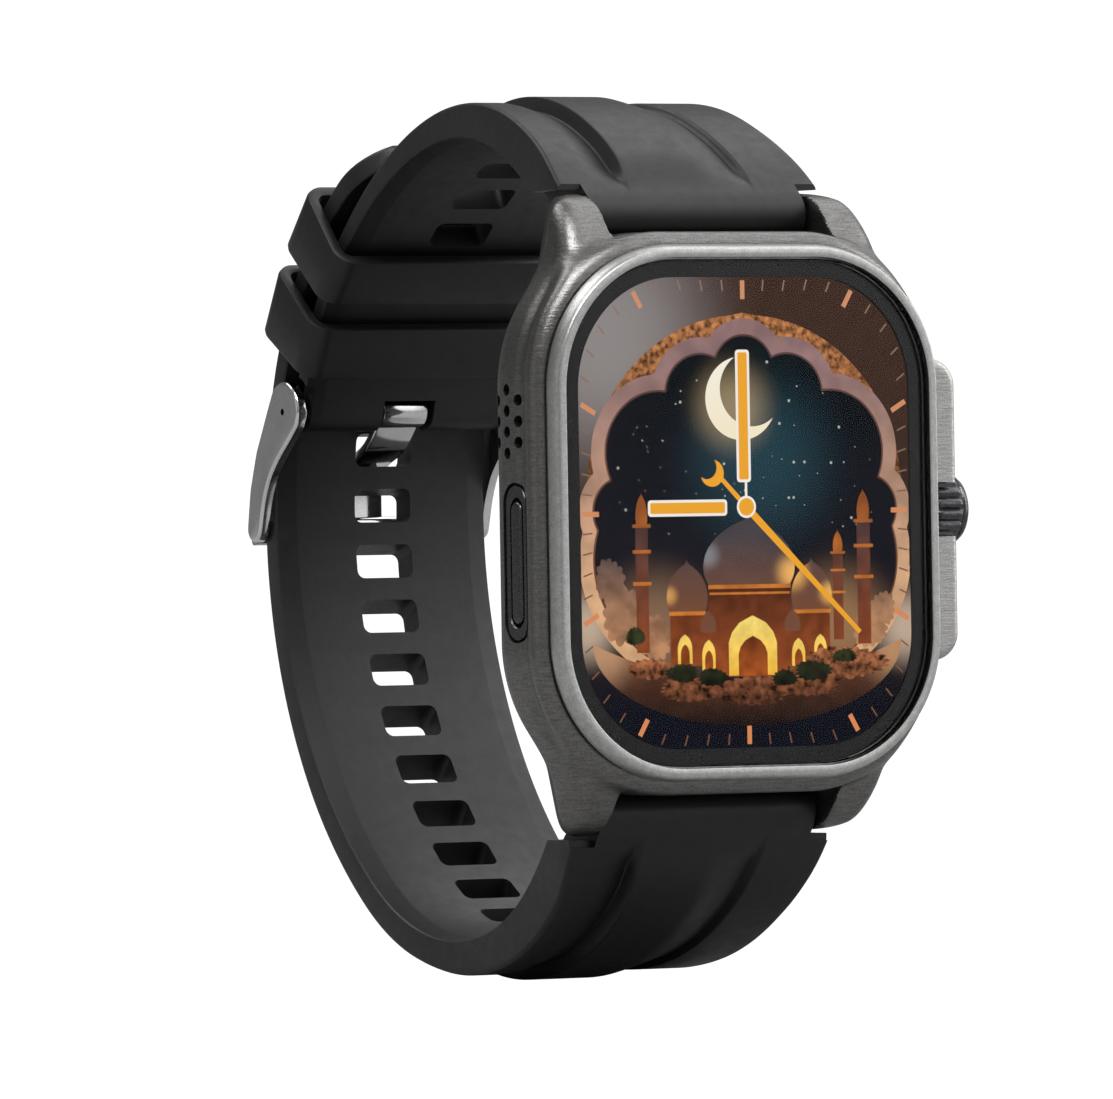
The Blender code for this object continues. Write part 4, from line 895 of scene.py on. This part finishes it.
def back_cover():
    edge = [(-0.35 + 0.35 * math.cos(math.radians(a)), 11.85 + 0.35 * math.sin(math.radians(a)))
            for a in (0, 18, 36, 54, 72, 90)]
    profile = [(-0.15, 11.15), (0.0, 11.3)] + edge
    cover = blank("back_plate", [front_loops(COVER_HALF_W, COVER_HALF_H, COVER_CORNER, profile, 24)])
    dome = rod("Y", (0, 0), ((11.9, 13.5), (12.16, 13.5), (12.24, 13.3), (12.45, 12.95), (12.62, 12.7),
                             (12.69, 12.3), (12.7, 11.8)), 96)
    spigot = front_loops(11.3, 15.2, 5.0, ((0, 10.4), (0, 11.6)), 12)
    carve(cover, blank("tool", [dome]), blank("tool", [spigot]), operation="UNION")
    holes = [bar("Y", (x, z), 11.6, 14, 1.25, 40) for x, z in screw_places()]
    holes += [bar("Y", (x, -14.0), 9, 14, 0.95, 32) for x in (-1.5, 1.5)]
    holes.append(bar("Y", (0, 0), 12.0, 14, LENS_RADIUS + FIT, 96))
    deep = [bar("Y", (x, z), 10, 11.9, 0.8, 24) for x, z in screw_places()]
    deep.append(bar("Y", (0, 0), 9, 12.5, 6.6, 64))
    carve(cover, blank("tool", holes), blank("tool", deep))
    finish_piece(cover, "gunmetal", replaces=["back_cover"])

    lens = ((12.15, LENS_RADIUS), (12.55, LENS_RADIUS), (12.66, 7.93), (12.74, 7.75), (12.80, 7.2),
            (12.86, 5.4), (12.89, 3.0), (12.9, 0.6), (12.9, 0.01))
    finish_piece(blank("sensor_lens", [rod("Y", (0, 0), lens, 96)]), "sensor", replaces=["sensor_window"])
    for name, x in (("left", -1.5), ("right", 1.5)):
        pin = rod("Y", (x, -14.0), ((10.2, 0.7), (12.22, 0.7), (12.3, 0.66), (12.34, 0.5), (12.35, 0.01)), 32)
        finish_piece(blank(f"contact_{name}", [pin]), "gold", replaces=[f"charge_contact_{name}"])


# ---------------------------------------------------------------- crown and button

def crown():
    def rib(angle):
        """How deep the knurl is at an angle: narrow valleys between rounded ridges."""
        return 0.30 * (0.5 + 0.5 * math.cos(angle * CROWN_RIBS)) ** 3

    profile = ((22.3, 0.01, 0), (22.3, 0.9, 0), (20.9, 0.9, 0), (20.9, 2.95, 0), (20.98, 3.1, 0.6),
               (21.15, 3.25, 1), (21.6, CROWN_RADIUS, 1), (22.6, CROWN_RADIUS, 1), (23.2, 3.28, 1),
               (23.38, 3.2, 0.8), (23.48, 3.02, 0), (23.62, 2.95, 0), (23.75, 3.02, 0), (23.95, 2.98, 0),
               (24.2, 2.80, 0), (24.4, 2.5, 0), (24.5, 2.15, 0), (24.56, 1.5, 0), (24.6, 0.6, 0),
               (24.6, 0.01, 0))
    count = CROWN_RIBS * 10
    loops = []
    for x, radius, depth in profile:
        loop = []
        for i in range(count):
            a = math.tau * i / count
            r = radius - depth * rib(a)
            loop.append((x, CROWN_Y + r * math.cos(a), r * math.sin(a)))
        loops.append(loop)
    finish_piece(blank("crown_cap", [loops]), "dark_steel", "crown", ["crown_knob"], 30)


def side_button():
    face = -CASE_HALF_W
    pill = [pill_ring(BUTTON_LONG, BUTTON_WIDE, face + x) for x in (0.75, 0.5)]
    for degrees in (0, 20, 40, 60, 80, 90):
        a = math.radians(degrees)
        inset = 0.6 * (1 - math.cos(a))
        pill.append(pill_ring(BUTTON_LONG - inset, BUTTON_WIDE - inset, face + 0.35 - 0.3 * math.sin(a)))
    stem = bar("X", (BUTTON_Y, BUTTON_Z), face + 0.6, -16.9, 0.5, 24)
    button = carve(blank("button_pill", [pill]), blank("tool", [stem]), operation="UNION")
    finish_piece(button, "dark_steel", "button", ["side_button"])
    loops = [pill_ring(BEZEL_LONG - less, BEZEL_WIDE - less, face + x)
             for less, x in ((0, 0.62), (0, 0.22), (0.1, 0.12))]
    loops += [pill_ring(BUTTON_LONG + more, BUTTON_WIDE + more, face + x)
              for more, x in ((0.8, 0.12), (0.6, 0.24), (0.6, 0.62))]
    finish_piece(blank("button_surround", [loops], True), "dark_steel", replaces=["button_bezel"])


# ---------------------------------------------------------------- strap

def walk(start, arcs, length):
    """Place and heading on a chain of tangent arcs that starts at the wrist side of the lower lug bar.
    It goes straight on before its start and past its end."""
    heading = math.radians(start)
    y = BAR_Y - BARREL_RADIUS * math.sin(heading)
    z = -BAR_Z + BARREL_RADIUS * math.cos(heading)
    for radius, sweep in arcs:
        if length <= 0:
            break
        step = min(math.radians(sweep), length / radius)
        y += radius * (math.sin(heading + step) - math.sin(heading))
        z -= radius * (math.cos(heading + step) - math.cos(heading))
        heading += step
        length = max(0.0, length - step * radius)
    return y + length * math.cos(heading), z + length * math.sin(heading), heading


def path_length(arcs):
    return sum(radius * math.radians(sweep) for radius, sweep in arcs)


def eased(table, s, spread=2.0):
    """A table's value at s, averaged over a short stretch so that its rows join smoothly."""
    near = np.linspace(s - spread, s + spread, 9)
    return float(np.mean(np.interp(near, [row[0] for row in table], [row[1] for row in table])))


def section(half_w, low, thick, relief):
    """Points (x, height) round the strap: crested outer face, rounded edges, chamfered wrist side."""
    top = low + thick
    edge = min(0.4, thick * 0.28)
    share = half_w / HALF_WIDTHS[0][1]
    xs = np.concatenate((np.linspace(half_w - edge, 6.9 * share, 8, endpoint=False),
                         np.linspace(6.9 * share, 5.6 * share, 10, endpoint=False),
                         np.linspace(5.6 * share, -5.6 * share, 16, endpoint=False),
                         np.linspace(-5.6 * share, -7.0 * share, 10, endpoint=False),
                         np.linspace(-7.0 * share, -half_w + edge, 9)))
    crest_x = [x * share for x, _ in CREST]
    crest_h = [h for _, h in CREST]
    rise = min(0.45, thick * 0.32)
    turns = [(edge * (1 - math.cos(math.radians(a))), edge * (1 - math.sin(math.radians(a))))
             for a in (0, 25, 50, 75)]
    points = [(half_w, low + rise)] + [(half_w - inward, top - down) for inward, down in turns]
    for x in xs:
        near = np.linspace(x - 0.12, x + 0.12, 5)
        height = float(np.mean(np.interp(near, crest_x, crest_h)))
        points.append((float(x), top + relief * height))
    points += [(inward - half_w, top - down) for inward, down in reversed(turns)]
    cut = min(2.0, half_w * 0.3)
    chamfer = ((0, 1), (0.06, 0.75), (0.9, 0.06), (1, 0))
    points += [(-half_w + u * cut, low + v * rise) for u, v in chamfer]
    points += [(half_w - u * cut, low + v * rise) for u, v in reversed(chamfer[1:])]
    return points


def strap_loops(start, arcs, thickness, flip, fade_from, tail):
    total = path_length(arcs)
    stations = []
    for degrees in (84, 76, 68, 58, 48, 38, 28, 18, 9):
        a = math.radians(degrees)
        stations.append((-BARREL_RADIUS * math.sin(a), BARREL_RADIUS * (1 - math.cos(a)),
                         2 * BARREL_RADIUS * math.cos(a), 1.0))
    tip = 7.0
    last = total - tip if tail else total - 1.5
    count = round(last / 0.7)
    for i in range(count + 1):
        s = last * i / count
        stations.append((s, 0, eased(thickness, s), 1.0))
    if tail:
        for degrees in (6, 12, 18, 25, 32, 39, 46, 53, 60, 66, 72, 77, 82, 86):
            a = math.radians(degrees)
            s = last + tip * math.sin(a)
            fine = 1 - 0.55 * max(0.0, math.sin(a) - 0.8) / 0.2
            low = eased(thickness, s) * (1 - fine) / 2
            stations.append((s, low, eased(thickness, s) * fine, max(0.2, math.cos(a) ** 0.55)))
    else:
        stations.append((total - 0.7, 0, 2 * SLEEVE_RADIUS * 0.97, 1.0))
        for degrees in (0, 12, 24, 36, 48, 58, 68, 76, 84):
            a = math.radians(degrees)
            stations.append((total + SLEEVE_RADIUS * math.sin(a), SLEEVE_RADIUS * (1 - math.cos(a)),
                             2 * SLEEVE_RADIUS * math.cos(a), 1.0))
    loops = []
    for s, low, thick, narrow in stations:
        y, z, heading = walk(start, arcs, s)
        rise = min(1.0, max(0.0, (s - 0.8) / 3.8)) * min(1.0, max(0.0, (fade_from + 12 - s) / 12))
        rise = rise * rise * (3 - 2 * rise)
        loop = []
        for x, height in section(eased(HALF_WIDTHS, s) * narrow, low, thick, rise):
            pz = z - height * math.cos(heading)
            loop.append((x, y + height * math.sin(heading), -pz if flip else pz))
        loops.append(loop)
    return loops


def slot_tool(start, arcs, s, flip):
    """A leaning rounded slot through the strap at length s."""
    y, z, heading = walk(start, arcs, s)
    turned = heading - math.radians(SLOT_LEAN)
    out_y, out_z = math.sin(turned), -math.cos(turned)
    along_y, along_z = math.cos(turned), math.sin(turned)
    loops = []
    for depth in (-4, 7):
        loop = []
        for x, u in rounded(SLOT_WIDE / 2, SLOT_LONG / 2, SLOT_CORNER, 6):
            pz = z + depth * out_z + u * along_z
            loop.append((x, y + depth * out_y + u * along_y, -pz if flip else pz))
        loops.append(loop)
    return loops


def strap_half(name, start, arcs, thickness, flip, fade_from, tail, slots, first_slot, node):
    strap = blank(name, [strap_loops(start, arcs, thickness, flip, fade_from, tail)])
    total = path_length(arcs)
    tools = [slot_tool(start, arcs, total - first_slot - i * SLOT_PITCH, flip) for i in range(slots)]
    behind, beside = [], []
    for side in (1, -1):
        x = between(side, LUG_INNER - GAP, PAST_EDGE)
        behind.append(brick(x, (0, PAST_EDGE), (0, LUG_TIP_Z + FIT) if flip else (-LUG_TIP_Z - FIT, 0)))
        beside.append(brick(x, (0, BAR_Y), (0, EAR_Z) if flip else (-EAR_Z, 0)))
    carve(strap, blank("tool", tools), blank("tool", behind), blank("tool", beside))
    bar_z = BAR_Z if flip else -BAR_Z
    carve(strap, blank("tool", [bar("X", (BAR_Y, bar_z), -PAST_EDGE, PAST_EDGE, SPRING_BAR + GAP, 32)]))
    if not tail:
        centre = buckle_centre()
        carve(strap, blank("tool", [bar("X", centre, -PAST_EDGE, PAST_EDGE, BUCKLE_BAR + GAP, 32)]))
        room = [bar("X", centre, -KNUCKLE_HALF - GAP, KNUCKLE_HALF + GAP, KNUCKLE_ROOM, 64)]
        room += [bar("X", centre, *between(side, SLEEVE_HALF, PAST_EDGE), ARM_ROOM, 64) for side in (1, -1)]
        carve(strap, blank("tool", room))
    finish_piece(strap, "rubber", replaces=[node], sharp=32)


def buckle_centre():
    """Place of the buckle bar: one sleeve radius out from the end of the upper half's wrist side."""
    y, z, heading = walk(PIN_START, PIN_ARCS, path_length(PIN_ARCS))
    return y + SLEEVE_RADIUS * math.sin(heading), -(z - SLEEVE_RADIUS * math.cos(heading))


def keeper_centre():
    y, z, heading = walk(PIN_START, PIN_ARCS, path_length(PIN_ARCS))
    radius = PIN_ARCS[-1][0]
    return y - radius * math.sin(heading), -(z + radius * math.cos(heading))


def keepers():
    """Rubber bands round both strap layers, with rounded corners and softened rims."""
    centre = keeper_centre()
    inner = PIN_ARCS[-1][0] - GAP - KEEPER_WALL
    middle, half_r = (KEEPER_OUTER_RADIUS + inner) / 2, (KEEPER_OUTER_RADIUS - inner) / 2
    half_w = KEEPER_INNER_HALF + KEEPER_WALL
    for name, (body, first, last, lean) in KEEPERS.items():
        rim = ((-0.35, 0.0), (-0.12, 0.15), (0.0, 0.55))
        profile = [(u, first + v) for u, v in rim] + [(u, last - v) for u, v in reversed(rim)]
        profile += [(-KEEPER_WALL - u, last - v) for u, v in rim]
        profile += [(-KEEPER_WALL - u, first + v) for u, v in reversed(rim)]
        loops = []
        for offset, degrees in profile:
            loop = []
            for x, r in rounded(half_w + offset, half_r + offset, 2.0 + offset, 12):
                share = (half_r - r) / (2 * half_r)
                a = math.radians(degrees - lean * share)
                reach = middle + r
                loop.append((x, centre[0] + reach * math.cos(a), centre[1] + reach * math.sin(a)))
            loops.append(loop)
        finish_piece(blank(name + "_band", [loops], True), "rubber", body, [name])


# ---------------------------------------------------------------- buckle

def ring_of_points(centre, radius, first, last, count):
    angles = [math.radians(first + (last - first) * i / max(count, 1)) for i in range(count + 1)]
    return [(centre[0] + radius * math.cos(a), centre[1] + radius * math.sin(a)) for a in angles]


def arm_outline():
    """Side view of a buckle arm: a round head on the bar, bending in an S down to the far bar."""
    head = buckle_centre()
    knee = (head[0] + 3.6, head[1] - 4.2)
    shin = (head[0] + 5.0, head[1] - 7.2)
    foot = (FAR_BAR_Y - 0.85, FAR_BAR_Z + 0.25)
    points = ring_of_points(head, 2.7, 41, 215, 14) + ring_of_points(knee, 1.65, 213, 213, 0)
    points += ring_of_points(shin, 1.35, 199, 199, 0) + ring_of_points(foot, 1.2, 192, 372, 8)
    points += ring_of_points(shin, 1.35, 13, 25, 1) + ring_of_points(knee, 1.65, 26, 41, 1)
    return soften(points, 2)


def shrunk(outline, amount):
    """The outline moved inwards by an amount along its normals."""
    ring = np.array(outline)
    ahead, behind = np.roll(ring, -1, 0), np.roll(ring, 1, 0)
    along = ahead - behind
    normal = np.stack((along[:, 1], -along[:, 0]), 1) / np.linalg.norm(along, axis=1)[:, None]
    area = 0.5 * np.sum(ring[:, 0] * ahead[:, 1] - ahead[:, 0] * ring[:, 1])
    return [tuple(p) for p in ring - normal * amount * np.sign(area)]


def buckle():
    centre = buckle_centre()
    pieces = []
    for side in (1, -1):
        outline = arm_outline()
        steps = [(0.0, ARM_INNER)] + [(0.3 * (1 - math.cos(math.radians(a))), ARM_OUTER - 0.3
                                       + 0.3 * math.sin(math.radians(a))) for a in (0, 25, 50, 75, 90)]
        loops = [[(side * x, y, z) for y, z in shrunk(outline, amount)] for amount, x in steps]
        pieces.append(blank("arm", [loops]))
    frame_piece = pieces[0]
    far = [(FAR_BAR_Y + y, FAR_BAR_Z + z) for y, z in rounded(0.55, 1.2, 0.5, 10)]
    far_bar = blank("tool", [[[(x, y, z) for y, z in far] for x in (-ARM_INNER - GAP, ARM_INNER + GAP)]])
    carve(frame_piece, far_bar, operation="UNION")
    carve(frame_piece, pieces[1], operation="UNION")
    boss = ((10.1, 1.25), (10.2, 1.42), (10.35, 1.45), (ARM_INNER + GAP, 1.45))
    for side in (1, -1):
        ends = [(side * x, radius) for x, radius in boss]
        carve(frame_piece, blank("tool", [rod("X", centre, ends, 40)]), operation="UNION")
    holes, pins = [], []
    for side in (1, -1):
        holes.append(bar("X", centre, *between(side, 9, ARM_OUTER - 0.35), BUCKLE_BAR + GAP, 32))
        pins.append(bar("X", centre, *between(side, 11, 13), 0.3, 20))
    rest = brick((-TANG_HALF - GAP, TANG_HALF + GAP), (FAR_BAR_Y + 0.05, FAR_BAR_Y + 2),
                 (FAR_BAR_Z - 2, FAR_BAR_Z + 2))
    carve(frame_piece, blank("tool", holes), blank("tool", pins), blank("tool", [rest]))
    frame_piece.name = "buckle_bow"
    finish_piece(frame_piece, "steel", "frame", ["buckle_frame"], 30)

    half = ARM_OUTER - 0.6
    core = [(-half, 0.55), (-half + 0.12, BUCKLE_BAR), (half - 0.12, BUCKLE_BAR), (half, 0.55)]
    finish_piece(blank("buckle_axle", [rod("X", centre, core, 40)]), "steel", replaces=["buckle_bar"])
    tang(centre)


def tang(centre):
    """The prong: a knuckle on the bar and a bent blade with softened edges."""
    y, z = centre
    rest_y = FAR_BAR_Y + 0.05 + GAP + TANG_THICK / 2
    path = [(y + 0.5, z - 1.1), (y + 1.8, z - 2.5), (y + 3.1, z - 3.5), (y + 5.2, z - 4.3),
            (rest_y - 0.75, z - 4.9), (rest_y - 0.2, z - 5.6), (rest_y, z - 6.6), (rest_y, FAR_BAR_Z - 0.6)]
    path = np.array(soften(path, 2, loop=False))
    along = np.gradient(path, axis=0)
    normal = np.stack((along[:, 1], -along[:, 0]), 1) / np.linalg.norm(along, axis=1)[:, None]
    loops = []
    for p, n in zip(path, normal):
        blade = rounded(TANG_HALF, TANG_THICK / 2, 0.22, 5)
        loops.append([(x, p[0] + n[0] * h, p[1] + n[1] * h) for x, h in blade])
    rim = ((0, 1.3), (0.08, 1.44), (0.22, KNUCKLE_RADIUS))
    knuckle = [(u - KNUCKLE_HALF, radius) for u, radius in rim]
    knuckle += [(KNUCKLE_HALF - u, radius) for u, radius in reversed(rim)]
    prong = blank("buckle_prong", [rod("X", centre, knuckle, 64)])
    carve(prong, blank("tool", [loops]), operation="UNION")
    carve(prong, blank("tool", [bar("X", centre, -4, 4, BUCKLE_BAR + GAP, 32)]))
    finish_piece(prong, "steel", "tang", ["buckle_tang"], 30)


# ---------------------------------------------------------------- CAD nodes that stay

def kept_nodes():
    finishes = {"glass_gasket": "plastic", "display_panel": "screen", "display_frame": "foil",
                "display_flex": "gold", "sensor_board": "board", "back_gasket": "rubber", "battery": "foil",
                "main_board": "board", "shield_can": "steel", "vibration_motor": "steel",
                "speaker_module": "plastic", "speaker_mesh": "dark_steel", "crown_switch": "plastic",
                "button_switch": "plastic", "crown_stem": "steel", "crown_bush": "steel",
                "crown_seal": "rubber", "crown_washer": "steel", "button_clip": "steel"}
    for name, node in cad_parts.items():
        finish = finishes.get(name)
        if name.startswith("case_screw"):
            finish = "dark_steel"
        elif name.startswith("lug_bar"):
            finish = "steel"
        node.data.materials.clear()
        node.data.materials.append(FINISHES[finish or "gunmetal"])


# ---------------------------------------------------------------- stage

def levels(tree, value, stops):
    """Grey levels along a value from -1 to 1, from (position, level) stops between 0 and 1."""
    ramp = add_node(tree, "ShaderNodeValToRGB", {0: remap(tree, value, -1, 1)})
    ends = ramp.color_ramp.elements
    for end, (position, level) in zip(ends, (stops[0], stops[-1])):
        end.position = position
        end.color = (level, level, level, 1)
    for position, level in stops[1:-1]:
        ends.new(position).color = (level, level, level, 1)
    return ramp.outputs[0]


def studio_world():
    """White to the camera; other rays see a soft studio with bright boxes between dark gaps."""
    world = bpy.data.worlds.new("studio")
    bpy.context.scene.world = world
    world.use_nodes = True
    tree = world.node_tree
    place = add_node(tree, "ShaderNodeTexCoord").outputs["Generated"]
    parts = add_node(tree, "ShaderNodeSeparateXYZ", {0: place})
    upwards = levels(tree, parts.outputs["Z"], ((0.0, 0.03), (0.34, 0.05), (0.46, 0.12), (0.50, 0.45),
                                                (0.60, 0.65), (0.82, 1.0), (1.0, 0.9)))
    across = levels(tree, parts.outputs["X"], ((0.0, 0.9), (0.10, 0.2), (0.24, 0.6), (0.36, 0.5), (0.50, 0.2),
                                               (0.70, 1.9), (0.80, 1.9), (0.9, 0.8), (1.0, 0.8)))
    studio = add_node(tree, "ShaderNodeVectorMath", {0: upwards, 1: across}, operation="MULTIPLY")
    background = tree.nodes["Background"]
    tree.links.new(studio.outputs[0], background.inputs["Color"])
    background.inputs["Strength"].default_value = 1.0
    white = add_node(tree, "ShaderNodeBackground", {"Color": (1, 1, 1, 1), "Strength": 1.0})
    camera_ray = add_node(tree, "ShaderNodeLightPath").outputs["Is Camera Ray"]
    mix = add_node(tree, "ShaderNodeMixShader",
                   {0: camera_ray, 1: background.outputs[0], 2: white.outputs[0]})
    tree.links.new(mix.outputs[0], tree.nodes["World Output"].inputs["Surface"])


def floor():
    """A pale floor just under the strap that runs up into a backdrop far behind."""
    level = cad_box[0].z / MM - 0.4
    bm = bmesh.new()
    profile = [(-900, level), (1500, level)]
    profile += [(1500 + 900 * math.sin(math.radians(a)), level + 900 * (1 - math.cos(math.radians(a))))
                for a in range(9, 91, 9)]
    profile.append((2400, level + 2500))
    rows = [[bm.verts.new((x * MM, y * MM, z * MM)) for x in (-2500, 2500)] for y, z in profile]
    for a, b in zip(rows, rows[1:]):
        bm.faces.new((a[0], a[1], b[1], b[0]))
    mesh = mesh_of("floor", bm)
    mesh.shade_smooth()
    obj = place_object("floor", mesh)
    made, tree, shader = start_material("pale_floor")
    place = add_node(tree, "ShaderNodeTexCoord").outputs["Object"]
    mottle = noise(tree, place, (9, 9, 9)).outputs["Fac"]
    colour = blend_colours(tree, mottle, (0.30, 0.30, 0.30, 1), (0.34, 0.34, 0.34, 1))
    matt = add_node(tree, "ShaderNodeBsdfDiffuse", {"Color": colour})
    white = add_node(tree, "ShaderNodeEmission", {"Color": (1, 1, 1, 1), "Strength": 1.15})
    camera_ray = add_node(tree, "ShaderNodeLightPath").outputs["Is Camera Ray"]
    part = add_node(tree, "ShaderNodeMath", {0: camera_ray, 1: 0.93}, operation="MULTIPLY")
    mix = add_node(tree, "ShaderNodeMixShader",
                   {0: part.outputs[0], 1: matt.outputs[0], 2: white.outputs[0]})
    end_with(tree, shader, mix)
    obj.data.materials.append(made)


def area_light(name, place, target, size, power):
    data = bpy.data.lights.new(name, "AREA")
    data.shape = "RECTANGLE"
    data.size, data.size_y = size[0], size[1]
    data.energy = power
    obj = place_object(name, data)
    obj.location = place
    obj.rotation_mode = "QUATERNION"
    obj.rotation_quaternion = (Vector(target) - Vector(place)).to_track_quat("-Z", "Y")


def camera():
    yaw, roll = math.radians(30.4), math.radians(0.97)
    distance, lens = 1.030, 391.4
    offset_x, offset_y = 16.6 * MM, 3.19 * MM
    side, up = Vector((math.cos(yaw), -math.sin(yaw), 0)), Vector((0, 0, 1))
    right = math.cos(roll) * side - math.sin(roll) * up
    top = math.sin(roll) * side + math.cos(roll) * up
    ahead = Vector((math.sin(yaw), math.cos(yaw), 0))
    data = bpy.data.cameras.new("camera")
    data.lens, data.sensor_width, data.clip_end = lens, 36, 100
    obj = place_object("camera", data)
    turn = Matrix((right, top, -ahead)).transposed().to_4x4()
    turn.translation = -offset_x * right - offset_y * top - distance * ahead
    obj.matrix_world = turn
    bpy.context.scene.camera = obj


kept_nodes()
front_ring()
cover_glass()
dial()
mid_case()
back_cover()
crown()
side_button()
strap_half("strap_lower_half", HOLE_START, HOLE_ARCS, HOLE_THICKNESS, False, 30, True, HOLE_SLOTS, FIRST_HOLE,
           "strap_bottom")
strap_half("strap_upper_half", PIN_START, PIN_ARCS, PIN_THICKNESS, True, 20, False, VENT_SLOTS, FIRST_VENT,
           "strap_top")
keepers()
buckle()
studio_world()
floor()
area_light("key", (-0.35, -0.45, 0.9), (0, 0.02, 0), (0.7, 0.5), 9)
area_light("fill", (0.9, -0.2, 0.3), (0, 0.02, 0), (0.4, 0.8), 3)
area_light("rim", (-0.3, 0.5, 0.8), (0, 0.03, 0), (0.6, 0.4), 2)
camera()
bpy.context.scene.view_settings.view_transform = "Standard"
